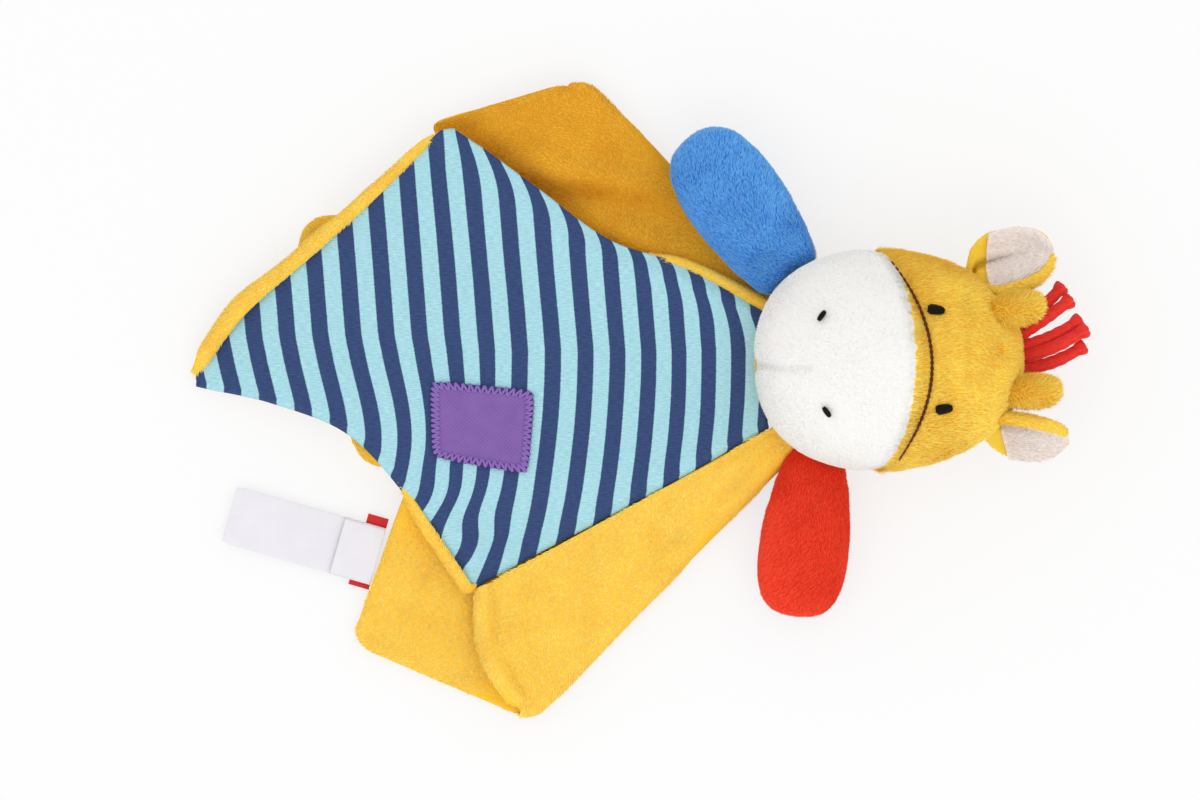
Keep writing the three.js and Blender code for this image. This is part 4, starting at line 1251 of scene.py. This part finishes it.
for ear, inner, half, tilt, shift in (("right_ear", -1, 10, 0, (0.8, 0.8)),
                                      ("left_ear", 1, 9.2, 40, (1.5, 1.3))):
    place = Matrix.Translation(Vector((*shift, 0)) * MM) @ seat(ear + "_fold")
    place = place @ Matrix.Rotation(math.radians(tilt), 4, "X")

    def inside_place(u, v, inner=inner, half=half):
        start = mix(0.2, 0.02, v) + 0.05 * (2 * v - 1) ** 2
        return ear_place(mix(start, 1.02, u), inner * mix(-1.03, 0.84, v), half, 0.6, inner)

    def back_leaf(u, v, inner=inner, half=half):
        t = mix(-0.25, 0.98, u)
        if v < EAR_ROLL:
            return ear_place(t, inner * mix(-0.97, 1, v / EAR_ROLL), half, -0.2, inner)
        rim = ear_place(t, inner, half, -0.2, inner)
        angle = math.radians(mix(-90, 160, (v - EAR_ROLL) / (1 - EAR_ROLL)))
        roll = 1.5 * ear_leaf(t)
        return rim + Vector((0, inner * roll * math.cos(angle), roll * (1 + math.sin(angle))))

    inside = own_cloth(inside_place, 32, 44, (1, 0), lambda u, v: 1.0, inner < 0)
    inside = shown(ear + "_inside_fabric", seated(inside, place), EAR_GREY)
    back = own_cloth(back_leaf, 36, 44, (1, 0), lambda u, v: 1.0, inner > 0)
    back = shown(ear + "_back_fabric", seated(back, place), FACE_YELLOW)
    # The back's bare ground gets a tuft tone of its own, so that it takes less of the painted shade between
    # tufts.
    ground = back.data.attributes.new("tuft_tone", "FLOAT", "POINT")
    ground.data.foreach_set("value", [GROUND_TONE] * len(back.data.vertices))
    bend_start, bend_end = (place @ Vector((x * MM, 0, 0)) for x in (-1, 7))
    for made, part, slot, flat, area in (
            (inside, "inside", "ear_lining_plush", (0.019, 0.025), 0.00043),
            (back, "back", "yellow_plush", (0.03, 0.033), 0.00084)):
        bend = ("head", ear, bend_start, bend_end, slot)
        bent(thick(made, EAR_FABRIC, 0), *bend, f"{ear}_{part}")
        pile = bent(grow(f"{ear}_{part}_pile", made, EAR_FABRIC, **EAR_PILE), *bend)


# Horns: two small firm nubs of long plush over a filling, sewn into the crown between the ears.
# Each is a closed stuffed form, and its pile stands up more than the head's does.
HORN_SIZE = (21, 12, 12)
HORN_FORM = (HORN_SIZE, 0.7, -0.05)
HORN_PILE = {"density": 5, "length": 2.0, "width": 0.2, "lean": 1.2, "stray": 0.6}
for horn, spot, turn in (("right_horn", (84.5, 20.6, 42.1), 10), ("left_horn", (90, -7.3, 38.3), 2)):
    place = (Matrix.Translation(NECK + Vector(spot) * MM) @ Matrix.Rotation(math.radians(turn), 4, "Z")
             @ Matrix.Rotation(math.radians(-8), 4, "Y"))
    form = stuffed_form(*HORN_FORM, 40, 30, grow=-0.6)
    brushed(form, lambda point: (1, 0, 0))
    cover = shown(horn + "_fabric", seated(form, place), FACE_YELLOW)
    fixed(cover, "head", "yellow_plush", horn + "_cover")
    fixed(grow(horn + "_pile", cover, lift=0, **HORN_PILE), "head", "yellow_plush")
    stuffed(horn, stuffed_form(*HORN_FORM, 24, 16, grow=-2.4), place, "head")


# Mane: five strips of red jersey, rolled up by their own edges, sewn into the crown in two tufts.
# Each strip is a tube with the ribs of its knit and a flared end.
STRIP_RADIUS = 2.15
CROWN_HEIGHT = 27.5
MANE_JERSEY = flecked("mane jersey", {"Roughness": 0.75, "Sheen Weight": 0.2, "Specular IOR Level": 0.25},
                      (214, 26, 20), (246, 62, 48), scale=900, detail=2, strength=0.5, distance=0.0003)
for name, body, root, end, lift, bow in (
        ("mane_upper_first", "mane_upper", (84.2, 14.6), (101.2, 28.6), 2, 1.0),
        ("mane_upper_second", "mane_upper", (84.6, 10.6), (104.0, 24.0), 4, 0.2),
        ("mane_lower_first", "mane_lower", (85.4, 7.6), (107.2, 17.2), 3, 1.4),
        ("mane_lower_second", "mane_lower", (85.8, 3.8), (109.2, 14.0), 5, 1.2),
        ("mane_lower_third", "mane_lower", (85.8, 0.0), (108.6, 8.4), 1, 1.6)):
    def strand(share, root=Vector(root), end=Vector(end), lift=lift, bow=bow):
        spot = root.lerp(end, share)
        side = Vector((end.y - root.y, root.x - end.x)).normalized() * bow * math.sin(math.pi * share)
        height = CROWN_HEIGHT + lift * math.sin(math.pi * share * 0.7) - 2 * share
        return Vector((spot.x + side.x, spot.y + side.y, height))

    def rolled(share, angle):
        waist = smooth((share - 0.6) * 4) * (1 - smooth((share - 0.8) * 8))
        flare = 0.5 * smooth((share - 0.82) * 6) - 0.25 * waist
        ribs = 0.07 * math.cos(6 * angle + 40 * share) - 0.28 * math.exp(-((angle - 0.9) / 0.22) ** 2)
        return (STRIP_RADIUS + flare) * (1 + ribs) - 0.6 * smooth((share - 0.985) * 60)

    bm = bmesh.new()
    tube(bm, strand, rolled, sides=36, steps=60)
    made = shown(name + "_strip", bm, MANE_JERSEY)
    bent(made, "head", body, NECK + strand(0.02) * MM, NECK + strand(0.35) * MM, "mane_cord", name)
